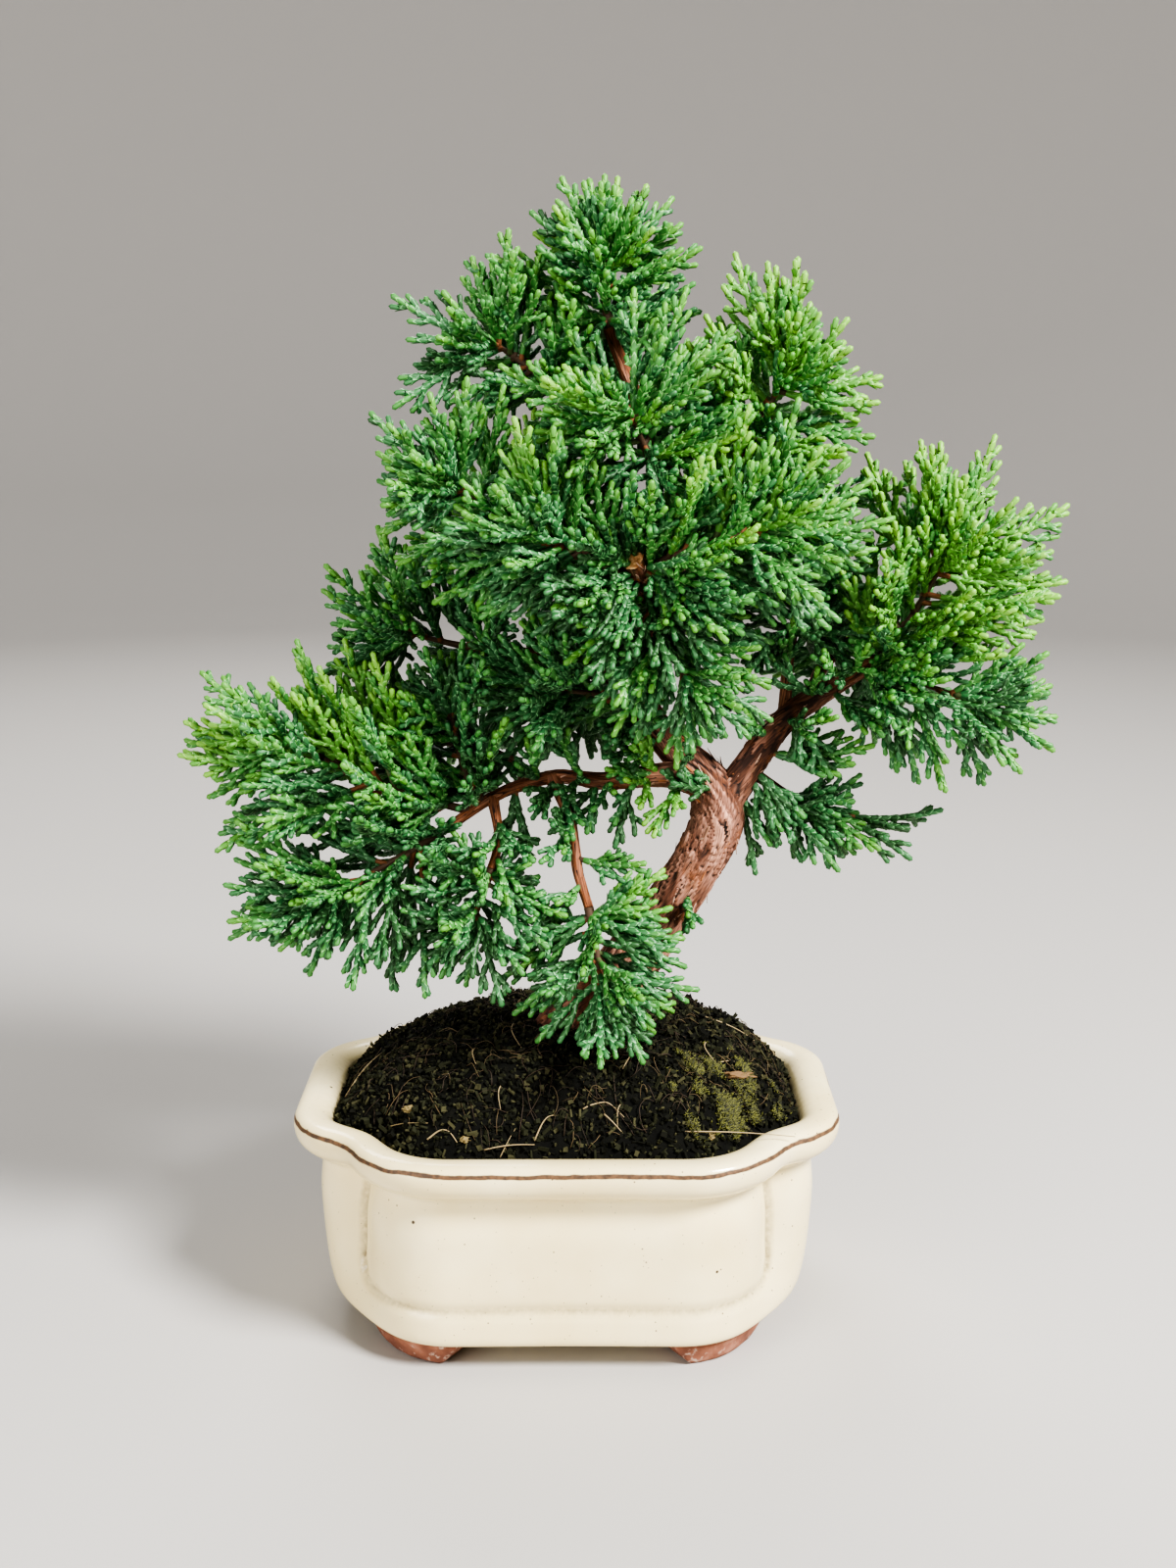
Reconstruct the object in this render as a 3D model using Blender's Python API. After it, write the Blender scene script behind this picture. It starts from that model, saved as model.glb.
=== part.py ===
"""Kishu juniper bonsai in its glazed pot, 300 mm tall, modelled in metres with +Z up.

Sizes and places are in millimetres, measured from the middle of the pot with z = 0 under its feet.
At the end the whole tree is shifted so that the middle of its box stands over the origin.
"""

import math
import random

import bmesh
import bpy
from mathutils import Matrix, Vector, noise
from mathutils.bvhtree import BVHTree

MM = 0.001
GAP = 0.35

# Pot: an indented oblong of two side lobes and a deeper panel at front and back
FOOT_HEIGHT = 6.7
LOBE_HALF_WIDTH = 75.0
LOBE_HALF_DEPTH = 39.0
LOBE_CORNER = 22.0
PANEL_HALF_WIDTH = 60.0
PANEL_HALF_DEPTH = 59.0
PANEL_CORNER = 30.0
PLAN_POINTS = 44
# Each level of the wall is how far it is drawn in from the rim's edge, its height, how softly its
# notches are rounded, and how much further the side lobes are drawn in
OUTER_WALL = (
    (7.6, 7.0, 13.0, 7.0), (5.9, 7.8, 13.0, 6.3), (5.2, 9.4, 13.0, 5.4), (5.3, 13.0, 12.0, 3.9), (5.8, 19.0, 9.0, 2.4),
    (6.2, 28.0, 6.0, 1.2), (6.3, 38.0, 5.0, 0.6), (7.4, 45.8, 5.0, 0.0), (6.4, 48.4, 5.0, 0.0),
    (2.6, 50.8, 5.0, 0.0), (0.6, 53.2, 5.0, 0.0), (0.0, 56.6, 5.0, 0.0),
)
RIM_AND_INNER_WALL = (
    (1.0, 59.2, 5.0, 0.0), (3.8, 60.0, 7.0, 0.0), (7.8, 59.4, 10.0, 0.0), (10.6, 56.5, 13.0, 0.0),
    (11.2, 50.0, 13.0, 0.0), (14.6, 15.0, 13.0, 0.0), (18.4, 13.0, 13.0, 0.0),
)
DRAIN_RADIUS = 6.0
DRAIN_X = 26.0
DRAIN_Z = 10.0
DRAIN_DEPTH = 12.0

# Each foot follows a corner of the pot between two bearings, and is drawn in at its base
FOOT_BEARINGS = (math.radians(32), math.radians(61))
FOOT_TOP_INSETS = (7.9, 24.0)
FOOT_BASE_INSETS = (10.0, 21.0)
FOOT_BASE_TRIM = math.radians(5)
FOOT_TUCK = 0.6
FOOT_STEPS = 5

# Soil: fills the pot and mounds up to a flat collar round the trunk
SOIL_WALL = ((19.0, 13.4, 13.0, 0.0), (15.3, 15.3, 13.0, 0.0), (11.9, 49.8, 13.0, 0.0), (11.3, 55.8, 13.0, 0.0))
SOIL_PEAK = 78.6
SOIL_RINGS = (0.93, 0.83, 0.71, 0.57, 0.4, 0.2)
SOIL_ROUNDNESS = 3.0
SOIL_LUMPS = 2.2
LUMP_SIZE = 11.0
LUMP_FADE = 5.0
COLLAR_RADIUS = 14.5

# Trunk: leans right to the fork, turns back and winds up through the crown. Each place has its radius
TRUNK = (
    ((0, 0, 68), 9.4), ((14, 0, 90), 8.0), ((23, 0, 104), 7.2), ((35, 0, 123), 6.7),
    ((41.5, 0, 137), 7.3), ((38, 1, 148), 5.6), ((28, 3, 157), 4.3), ((20, 5, 170), 3.7),
    ((22, 2, 188), 3.4), ((28, 0, 205), 3.0), ((31, 0, 221), 2.6), ((22, 0, 241), 2.1),
    ((15, 0, 257), 1.7), ((11, 0, 267), 1.3),
)
TRUNK_SIDES = 12
ROOT_FLARE = 0.42
FLARE_HEIGHT = 9.0
FLARE_RIDGES = 5
FLUTE_DEPTH = 0.05
FLUTE_LENGTH = 11.0

# Boughs: the limb that carries each one, how many of that limb's spans along it they leave,
# the places they run through, and their radii at the two ends
BOUGHS = {
    "bough_left": ("trunk", 4.9, ((26, -3, 149.5), (10, -4, 148), (-4, -3, 149), (-20, -6, 144), (-31, -10, 137)),
                   (4.4, 2.9, 2.0, 1.6, 1.3)),
    "bough_right": ("trunk", 4.1, ((50, 0, 152), (59, 0, 164), (72, -2, 174), (83, -5, 181)), (4.8, 2.0)),
    "bough_front": ("trunk", 8.3, ((22, -12, 195), (20, -23, 204), (17, -31, 210)), (3.0, 2.6)),
    "bough_shoulder": ("trunk", 8.8, ((12, -5, 207), (-3, -10, 211), (-9, -11, 213)), (2.2, 1.5)),
    "bough_upper_left": ("trunk", 11.3, ((10, 0, 246), (0, 0, 251)), (1.8, 1.4)),
    "bough_upper_right": ("trunk", 10.0, ((38, -5, 227), (45, -8, 236)), (2.1, 1.5)),
    "bough_crown_front": ("trunk", 10.4, ((26, -9, 231), (22, -17, 234)), (1.9, 1.4)),
    "bough_left_middle": ("trunk", 7.2, ((4, 6, 177), (-10, 7, 181), (-20, 6, 182)), (2.2, 1.4)),
    "bough_back_top": ("trunk", 10.8, ((24, 9, 240), (21, 17, 245)), (1.7, 1.3)),
    "bough_back_left_high": ("trunk", 8.6, ((16, 12, 203), (4, 24, 208)), (2.2, 1.5)),
    "bough_back_right_high": ("trunk", 9.1, ((38, 12, 211), (47, 21, 214)), (2.2, 1.5)),
    "bough_back_middle": ("trunk", 8.0, ((22, 14, 191), (22, 25, 194)), (2.2, 1.5)),
    "bough_back_low": ("trunk", 6.6, ((14, 18, 165), (6, 30, 166)), (2.4, 1.5)),
    "bough_drop": ("bough_left", 3.0, ((1, -10, 139), (3, -17, 127), (6, -23, 118)), (1.7, 1.2)),
    "bough_low_middle": ("bough_left", 4.0, ((-18, -13, 134), (-20, -17, 127)), (1.3, 1.1)),
    "bough_back_left_low": ("bough_left", 3.4, ((-14, 8, 150), (-23, 20, 152)), (1.8, 1.3)),
    "bough_right_inner": ("bough_right", 2.0, ((60, 4, 178), (61, 2, 187)), (1.7, 1.3)),
    "bough_right_low": ("bough_right", 0.9, ((55, 5, 146), (61, 6, 142)), (1.6, 1.2)),
    "bough_back_right_low": ("bough_right", 2.5, ((70, 14, 175), (75, 24, 178)), (1.9, 1.4)),
}
BOUGH_SIDES = 6

# Foliage: the limb that carries each mass, how many spans along it, the mass's middle and three
# radii, its count of sprays, and the furthest shoots, which give the crown its outline
MASSES = {
    "mass_apex": ("trunk", 13, (11, 0, 284), (22, 20, 20), 15,
                  ((10, 0, 305), (-1, -4, 304), (21, 4, 303), (30, 0, 293), (33, -6, 278), (-9, 0, 296))),
    "mass_upper_left": ("bough_upper_left", 2, (-18, 0, 263), (21, 20, 23), 11,
                        ((-24, 0, 285), (-35, 0, 270), (-38, -5, 257), (-12, 2, 283))),
    "mass_shoulder": ("bough_shoulder", 3, (-27, -14, 227), (26, 22, 23), 11,
                      ((-50, -10, 246), (-48, -15, 236), (-47, -15, 224), (-44, -10, 207))),
    "mass_upper_right": ("bough_upper_right", 2, (55, -11, 253), (24, 21, 25), 12,
                         ((53, -10, 282), (71, -15, 269), (39, -4, 270), (78, -18, 240))),
    "mass_crown_front": ("bough_crown_front", 2, (17, -27, 245), (29, 21, 26), 12,
                         ((-4, -34, 254), (24, -32, 264))),
    "mass_centre_left": ("bough_front", 2.0, (-4, -33, 215), (29, 20, 25), 12,
                         ((-26, -30, 201), (-30, -34, 220))),
    "mass_centre_right": ("bough_front", 2.4, (48, -34, 218), (31, 20, 26), 12,
                          ((76, -30, 230), (75, -32, 212), (52, -42, 200), (62, -40, 238))),
    "mass_hanging": ("bough_front", 1.5, (30, -32, 181), (24, 17, 24), 10,
                     ((28, -36, 158), (47, -31, 165), (12, -34, 166))),
    "mass_left_middle": ("bough_left_middle", 3, (-42, 5, 187), (25, 23, 22), 10,
                         ((-66, 5, 199), (-63, 5, 187), (-61, 5, 174))),
    "mass_centre_low": ("trunk", 6.7, (-2, -10, 174), (26, 21, 20), 9, ((-20, -14, 160),)),
    "mass_right_top": ("bough_right", 4, (99, -8, 208), (27, 26, 28), 14,
                       ((92, -5, 239), (122, -5, 222), (124, -10, 200), (77, -10, 232))),
    "mass_right_low": ("bough_right", 3.5, (104, -8, 172), (25, 23, 26), 11,
                       ((127, -10, 184), (121, -10, 171), (113, -5, 147), (94, -12, 149))),
    "mass_right_inner": ("bough_right_inner", 2, (62, -6, 203), (22, 21, 24), 9, ()),
    "mass_wisp": ("bough_right_low", 2, (78, 5, 136), (28, 13, 15), 6,
                  ((104, 5, 138), (95, 0, 125), (74, 2, 123))),
    "mass_low_left_top": ("bough_left", 4.5, (-66, -12, 157), (36, 24, 23), 14,
                          ((-101, -12, 161), (-69, -10, 177), (-95, -15, 146), (-86, -12, 168), (-48, -12, 175))),
    "mass_low_left": ("bough_left", 5, (-60, -16, 121), (31, 23, 27), 14,
                      ((-88, -18, 130), (-83, -18, 112), (-69, -20, 98), (-47, -20, 94))),
    "mass_left_inner": ("bough_left", 4.2, (-31, -4, 167), (21, 21, 20), 9, ()),
    "mass_low_middle": ("bough_low_middle", 2, (-24, -20, 115), (20, 17, 21), 10,
                        ((-27, -20, 95), (-11, -20, 98))),
    "mass_front_low": ("bough_drop", 3, (9, -28, 99), (26, 19, 22), 11,
                       ((35, -28, 97), (20, -31, 80), (9, -31, 80), (-14, -28, 90), (31, -24, 112))),
    "mass_back_top": ("bough_back_top", 2, (13, 25, 257), (24, 21, 23), 10, ((4, 32, 276), (30, 30, 270))),
    "mass_back_left_high": ("bough_back_left_high", 2, (-15, 33, 217), (28, 23, 26), 11,
                            ((-38, 38, 228), (-32, 46, 210))),
    "mass_back_right_high": ("bough_back_right_high", 2, (57, 32, 222), (28, 23, 26), 11,
                             ((80, 36, 232), (66, 44, 240))),
    "mass_back_middle": ("bough_back_middle", 2, (22, 43, 196), (26, 22, 26), 11, ((22, 62, 206), (24, 58, 184))),
    "mass_back_low": ("bough_back_low", 2, (-2, 42, 162), (27, 23, 23), 10, ((-8, 60, 156), (12, 54, 146))),
    "mass_back_left_low": ("bough_back_left_low", 2, (-42, 33, 152), (28, 23, 23), 10,
                           ((-66, 36, 160), (-56, 42, 138))),
    "mass_back_right_low": ("bough_back_right_low", 2, (82, 37, 181), (28, 23, 26), 11,
                            ((106, 38, 188), (92, 44, 162))),
}
STEM_RADII = (1.1, 0.6)
STEM_SIDES = 4
SPRAY_LENGTH = 33.0
SPRAY_REACH = 17.0
TOOTH_LEAN = math.radians(42)
TOOTH_SPACING = 12.0
BLADE_THICKNESS = 2.0
BLADE_WAIST = 4.6
BLADE_BOW = 1.5
TOOTH_BEND = 2.5
# Shoots leave the stem some way short of their tips, between two shares of its length, and are
# tried whole and then shorter until one crosses few enough faces of the others
ROOT_LEAD = 0.55
ROOT_RANGE = (0.12, 0.97)
ROOT_STEP = 0.05
SHOOT_SHARES = (1.0, 1.0, 1.0, 0.88, 0.88, 0.77, 0.66)
SHORTEST_SHOOT = 13.0
TIPS_PER_SPRAY = 5
TIP_SPACING = 0.45
MOST_CROSSINGS = 8
# Sprays face out of the crown from its middle plane, more to the front and back than to the sides
CROWN_MIDDLE_X = 20
FACING = (0.3, 0.7, 0.4)
FACING_SPREAD = 0.5
CELL_MARGIN = 0.2
GOLDEN_ANGLE = math.pi * (3 - math.sqrt(5))
SEED = 7


def finish(name, red, green, blue, roughness):
    """A plain surface of one linear colour."""
    material = bpy.data.materials.new(name)
    material.use_nodes = True
    material.diffuse_color = (red, green, blue, 1.0)
    shader = material.node_tree.nodes["Principled BSDF"]
    shader.inputs["Base Color"].default_value = (red, green, blue, 1.0)
    shader.inputs["Roughness"].default_value = roughness
    shader.inputs["Metallic"].default_value = 0.0
    return material


def as_object(bm, name, material, collection):
    """Turns a bmesh in millimetres into a named object in metres."""
    bmesh.ops.scale(bm, vec=(MM, MM, MM), verts=bm.verts)
    bmesh.ops.recalc_face_normals(bm, faces=bm.faces)
    mesh = bpy.data.meshes.new(name)
    bm.to_mesh(mesh)
    bm.free()
    mesh.materials.append(material)
    piece = bpy.data.objects.new(name, mesh)
    collection.objects.link(piece)
    return piece


def loft(bm, rings):
    """Extrudes a flat face on the first ring through all the others, which closes both ends."""
    first = end = bm.faces.new([bm.verts.new(point) for point in rings[0]])
    for ring in rings[1:]:
        grown = bmesh.ops.extrude_face_region(bm, geom=[end])["geom"]
        if end is not first:
            bmesh.ops.delete(bm, geom=[end], context="FACES_ONLY")
        end = next(part for part in grown if isinstance(part, bmesh.types.BMFace))
        for vert, point in zip(end.verts, ring):
            vert.co = point


def box_distance(x, y, half_width, half_depth, corner):
    """How far a point lies outside an oblong with round corners, negative inside it."""
    over_x = abs(x) - half_width + corner
    over_y = abs(y) - half_depth + corner
    return math.hypot(max(over_x, 0), max(over_y, 0)) + min(max(over_x, over_y), 0) - corner


def plan_distance(x, y, rounding, tuck):
    """The same for the pot's plan, rounded in the notches where lobes and panels meet."""
    lobes = box_distance(x, y, LOBE_HALF_WIDTH - tuck, LOBE_HALF_DEPTH, LOBE_CORNER)
    panels = box_distance(x, y, PANEL_HALF_WIDTH, PANEL_HALF_DEPTH, PANEL_CORNER)
    near = max(rounding - abs(lobes - panels), 0) / rounding
    return min(lobes, panels) - near**2 * rounding / 4


def plan_point(bearing, inset, z, rounding, tuck):
    """Where a line from the pot's middle meets the wall at a height, drawn in by the inset."""
    near, far = 0.0, 1.3 * LOBE_HALF_WIDTH
    for _ in range(30):
        middle = (near + far) / 2
        if plan_distance(middle * math.cos(bearing), middle * math.sin(bearing), rounding, tuck) < -inset:
            near = middle
        else:
            far = middle
    return Vector((near * math.cos(bearing), near * math.sin(bearing), z))


def plan_bearings():
    """Bearings spaced as on an ellipse of the pot's sides, so that the corners get their share."""
    turns = (math.tau * (i + 0.5) / PLAN_POINTS for i in range(PLAN_POINTS))
    return [math.atan2(PANEL_HALF_DEPTH * math.sin(t), LOBE_HALF_WIDTH * math.cos(t)) for t in turns]


def make_pot(collection, drains, glaze):
    """The glazed wall, its rolled rim, the inside and a floor with two drainage holes."""
    bm = bmesh.new()
    levels = OUTER_WALL + RIM_AND_INNER_WALL
    loft(bm, [[plan_point(b, *level) for b in plan_bearings()] for level in levels])
    pot = as_object(bm, "pot", glaze, collection)
    for side, x in (("left", -DRAIN_X), ("right", DRAIN_X)):
        bm = bmesh.new()
        bmesh.ops.create_cone(bm, cap_ends=True, segments=16, radius1=DRAIN_RADIUS, radius2=DRAIN_RADIUS,
                              depth=DRAIN_DEPTH, matrix=Matrix.Translation((x, 0, DRAIN_Z)))
        drain = as_object(bm, f"drain_{side}", glaze, drains)
        drain.hide_render = True
        drain.display_type = "WIRE"
        cut = pot.modifiers.new(f"drain {side}", "BOOLEAN")
        cut.object = drain
        cut.operation = "DIFFERENCE"
    return pot


def make_foot(name, quarter, collection, clay):
    """A low bracket foot under one corner, wider where it meets the pot."""
    sign_x, sign_y = quarter

    def ring(insets, trim, z):
        first, last = FOOT_BEARINGS[0] + trim, FOOT_BEARINGS[1] - trim
        bearings = [first + (last - first) * i / FOOT_STEPS for i in range(FOOT_STEPS + 1)]
        edge = [plan_point(b, insets[0], z, *OUTER_WALL[0][2:]) for b in bearings]
        edge += [plan_point(b, insets[1], z, *OUTER_WALL[0][2:]) for b in reversed(bearings)]
        return [Vector((sign_x * p.x, sign_y * p.y, z)) for p in edge]

    bm = bmesh.new()
    middle_insets = (FOOT_TOP_INSETS[0] + FOOT_TUCK, FOOT_TOP_INSETS[1] - FOOT_TUCK)
    loft(bm, [ring(FOOT_BASE_INSETS, FOOT_BASE_TRIM, 0.0),
              ring(middle_insets, 0.3 * FOOT_BASE_TRIM, 0.6 * FOOT_HEIGHT),
              ring(FOOT_TOP_INSETS, 0.0, FOOT_HEIGHT)])
    return as_object(bm, name, clay, collection)


def make_soil(collection, earth):
    """Soil up the inside of the pot, then rings that close in on the flat collar under the trunk."""
    foot_x = trunk_foot().x
    edge_z = SOIL_WALL[-1][1]
    rings = [[plan_point(b, *level) for b in plan_bearings()] for level in SOIL_WALL]
    edge = rings[-1]
    collar = []
    for point in edge:
        bearing = math.atan2(point.y, point.x - foot_x)
        collar.append(Vector((foot_x + COLLAR_RADIUS * math.cos(bearing), COLLAR_RADIUS * math.sin(bearing), 0)))
    for out in SOIL_RINGS:
        height = SOIL_PEAK - (SOIL_PEAK - edge_z) * out**SOIL_ROUNDNESS
        ring = []
        for outer, inner in zip(edge, collar):
            point = inner.lerp(outer, out)
            lump = noise.noise((point.x / LUMP_SIZE, point.y / LUMP_SIZE, 0))
            point.z = height + SOIL_LUMPS * lump * min(1, LUMP_FADE * (1 - out), LUMP_FADE * out)
            ring.append(point)
        rings.append(ring)
    rings.append([Vector((p.x, p.y, SOIL_PEAK)) for p in collar])
    bm = bmesh.new()
    loft(bm, rings)
    return as_object(bm, "soil", earth, collection)


def smooth_path(places, steps):
    """A smooth curve through the places, with the same number of steps on each span."""
    places = [Vector(p) for p in places]
    before = [2 * places[0] - places[1]] + places[:-1]
    after = places[1:] + [2 * places[-1] - places[-2]]
    points = []
    for i in range(len(places) - 1):
        start, end = places[i], places[i + 1]
        leave, arrive = (end - before[i]) / 2, (after[i + 1] - start) / 2
        for k in range(steps):
            t = k / steps
            points.append((2 * t**3 - 3 * t**2 + 1) * start + (t**3 - 2 * t**2 + t) * leave
                          + (3 * t**2 - 2 * t**3) * end + (t**3 - t**2) * arrive)
    return points + [places[-1]]


def at_span(values, along, steps):
    """The value a number of spans along a limb, between two of its stations."""
    place = min(max(along * steps, 0), len(values) - 1)
    first = min(int(place), len(values) - 2)
    return values[first] + (values[first + 1] - values[first]) * (place - first)


def swept(bm, points, radii, sides, shape=None):
    """Sweeps a ring with a radius for each point, which shape(point, angle) may swell."""
    heading = (points[1] - points[0]).normalized()
    side = heading.orthogonal().normalized()
    rings = []
    for i, (point, radius) in enumerate(zip(points, radii)):
        ahead = points[min(i + 1, len(points) - 1)]
        behind = points[max(i - 1, 0)]
        turned = (ahead - behind).normalized()
        side = heading.rotation_difference(turned) @ side
        heading = turned
        across = heading.cross(side)
        ring = []
        for k in range(sides):
            angle = math.tau * k / sides
            swell = shape(point, angle) if shape else 1.0
            ring.append(point + radius * swell * (math.cos(angle) * side + math.sin(angle) * across))
        rings.append(ring)
    loft(bm, rings)


class Limb:
    """A tapering limb: its centre line, its radii, and how it swells round the line."""

    def __init__(self, places, radii, steps, sides, shape=None):
        self.steps, self.sides, self.shape = steps, sides, shape
        self.points = smooth_path(places, steps)
        last = len(self.points) - 1
        self.radii = [at_span(radii, i * (len(radii) - 1) / last, 1) for i in range(last + 1)]

    def solid(self, grown=0.0):
        """The limb, or a copy grown all round and lengthened as much at its tip."""
        points = list(self.points)
        points[-1] = points[-1] + grown * (points[-1] - points[-2]).normalized()
        bm = bmesh.new()
        swept(bm, points, [r + grown for r in self.radii], self.sides, self.shape)
        return bm

    def place(self, along):
        return at_span(self.points, along, self.steps)


def trunk_foot():
    """Where the trunk's centre line comes out of the soil."""
    points = smooth_path([place for place, _ in TRUNK], 6)
    return min(points, key=lambda p: abs(p.z - SOIL_PEAK))


def trunk_swell(point, angle):
    """Root flare in rounded ridges near the ground, and shallow flutes further up."""
    flare = math.exp(-max(point.z - SOIL_PEAK, 0) / FLARE_HEIGHT)
    ridges = 0.5 + 0.5 * math.sin(FLARE_RIDGES * angle + 0.6)
    flutes = FLUTE_DEPTH * math.sin(3 * angle + point.z / FLUTE_LENGTH)
    return 1 + ROOT_FLARE * flare * (0.45 + 0.55 * ridges) + flutes


def bvh_of(bm):
    bmesh.ops.triangulate(bm, faces=bm.faces)
    tree = BVHTree.FromBMesh(bm)
    bm.free()
    return tree


def join(piece, others, operation):
    """Applies one Boolean with a collection of objects, then removes those objects."""
    modifier = piece.modifiers.new("join", "BOOLEAN")
    modifier.operation = operation
    modifier.operand_type = "COLLECTION"
    modifier.collection = others
    modifier.solver = "MANIFOLD"
    graph = bpy.context.evaluated_depsgraph_get()
    mesh = bpy.data.meshes.new_from_object(piece.evaluated_get(graph))
    piece.modifiers.clear()
    piece.data = mesh
    for other in list(others.objects):
        bpy.data.objects.remove(other)


def keep_largest(piece):
    """Leaves the largest shell, so that no loose scrap and no sealed hollow stays."""
    bm = bmesh.new()
    bm.from_mesh(piece.data)
    bmesh.ops.dissolve_degenerate(bm, edges=bm.edges, dist=0.0000002)
    shells, seen = [], set()
    for face in bm.faces:
        if face in seen:
            continue
        shell, front = [], [face]
        seen.add(face)
        while front:
            current = front.pop()
            shell.append(current)
            for neighbour in (f for edge in current.edges for f in edge.link_faces):
                if neighbour not in seen:
                    seen.add(neighbour)
                    front.append(neighbour)
        shells.append(shell)
    largest = max(shells, key=len)
    bmesh.ops.delete(bm, geom=[f for shell in shells if shell is not largest for f in shell], context="FACES")
    bm.to_mesh(piece.data)
    bm.free()


def make_trunk(limb, collection, bark):
    """The trunk, cut flat at the ground."""
    bm = limb.solid()
    bmesh.ops.bisect_plane(bm, geom=bm.verts[:] + bm.edges[:] + bm.faces[:], dist=0.0001,
                           plane_co=(0, 0, SOIL_PEAK + GAP), plane_no=(0, 0, 1), clear_inner=True)
    bmesh.ops.holes_fill(bm, edges=[e for e in bm.edges if e.is_boundary])
    return as_object(bm, "trunk", bark, collection)


def spray_blade(bm, root, tip, facing, planes, rng):
    """One spray: a blade with a ridge along it, on a bare stalk, and a tooth for each side shoot,
    short where it would leave the mass's own space."""
    line = tip - root
    heading = line.normalized()
    side = heading.cross(facing).normalized()
    face = side.cross(heading)
    blade = min(0.9 * line.length, SPRAY_LENGTH)
    spans = max(2, round(blade / TOOTH_SPACING))
    spacing = 0.8 * blade / spans
    bow = rng.uniform(-BLADE_BOW, BLADE_BOW)
    stalk = line.length - blade

    def section(along, share):
        middle = root + heading * along + face * bow * math.sin(math.pi * share)
        waist, thickness = BLADE_WAIST * (1 - 0.45 * share), BLADE_THICKNESS * (1 - 0.4 * share)
        corners = ((0.6 * thickness, 0), (-0.4 * thickness, waist / 2), (-0.4 * thickness, -waist / 2))
        return [bm.verts.new(middle + face * out + side * across) for out, across in corners]

    def tooth(ring, following, edge, reach):
        """A tooth that leans forward from the ridge and one edge of the blade."""
        base = (ring[edge].co + following[edge].co) / 2
        lean = TOOTH_LEAN * rng.uniform(0.85, 1.15)
        sign = 1 if edge == 1 else -1
        spike = reach * (math.cos(lean) * heading + sign * math.sin(lean) * side)
        spike += face * rng.uniform(-TOOTH_BEND, TOOTH_BEND)
        while spike.length > 2 and not in_cell(planes, base + spike):
            spike *= 0.75
        point = bm.verts.new(base + spike)
        bm.faces.new((ring[0], ring[edge], point))
        bm.faces.new((ring[0], point, following[edge]))
        bm.faces.new((ring[0], following[edge], following[0]))
        bm.faces.new((ring[edge], point, following[edge]))

    ring = section(0.0, 0.0)
    bm.faces.new(ring)
    following = section(stalk, 0.1)
    for k in range(3):
        bm.faces.new((ring[k], ring[(k + 1) % 3], following[(k + 1) % 3], following[k]))
    for span in range(spans):
        ring, share = following, (span + 1) / (spans + 1)
        following = section(stalk + spacing * (span + 1), share)
        bm.faces.new((ring[1], ring[2], following[2], following[1]))
        for edge in (1, 2):
            reach = SPRAY_REACH * (1.1 - 0.4 * share) * rng.uniform(0.85, 1.1) * min(1, blade / 17)
            tooth(ring, following, edge, reach)
    point = bm.verts.new(tip)
    for k in range(3):
        bm.faces.new((following[k], following[(k + 1) % 3], point))
    bmesh.ops.recalc_face_normals(bm, faces=bm.faces)


def cell_planes(name):
    """Planes between this mass and each other one, nearer the smaller of the two, and the ground."""
    middle, radii = Vector(MASSES[name][2]), MASSES[name][3]
    size = sum(radii) / 3
    planes = [(Vector((0, 0, -1)), middle, middle.z - SOIL_PEAK)]
    for other, (_, _, place, spans, _, _) in MASSES.items():
        if other == name:
            continue
        apart = Vector(place) - middle
        reach = (apart.length_squared + size**2 - (sum(spans) / 3) ** 2) / (2 * apart.length)
        planes.append((apart.normalized(), middle, reach))
    return planes


def in_cell(planes, point):
    return all((point - middle).dot(normal) < reach - CELL_MARGIN for normal, middle, reach in planes)


def shoot_tips(name, rng):
    """The named furthest shoots, then the others spread evenly over the mass by the golden angle."""
    _, _, middle, radii, count, furthest = MASSES[name]
    tips = [Vector(t) for t in furthest]
    total = TIPS_PER_SPRAY * count
    turn = rng.uniform(0, math.tau)
    order = sorted(range(total), key=lambda i: (i * 7) % total)
    for i in order:
        height = 1 - 2 * (i + 0.5) / total
        width = math.sqrt(1 - height**2)
        bearing = turn + GOLDEN_ANGLE * i
        direction = Vector((width * math.cos(bearing), width * math.sin(bearing), height))
        swell = rng.uniform(0.88, 1.06)
        tips.append(Vector(middle) + swell * Vector(d * r for d, r in zip(direction, radii)))
    return tips


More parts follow.
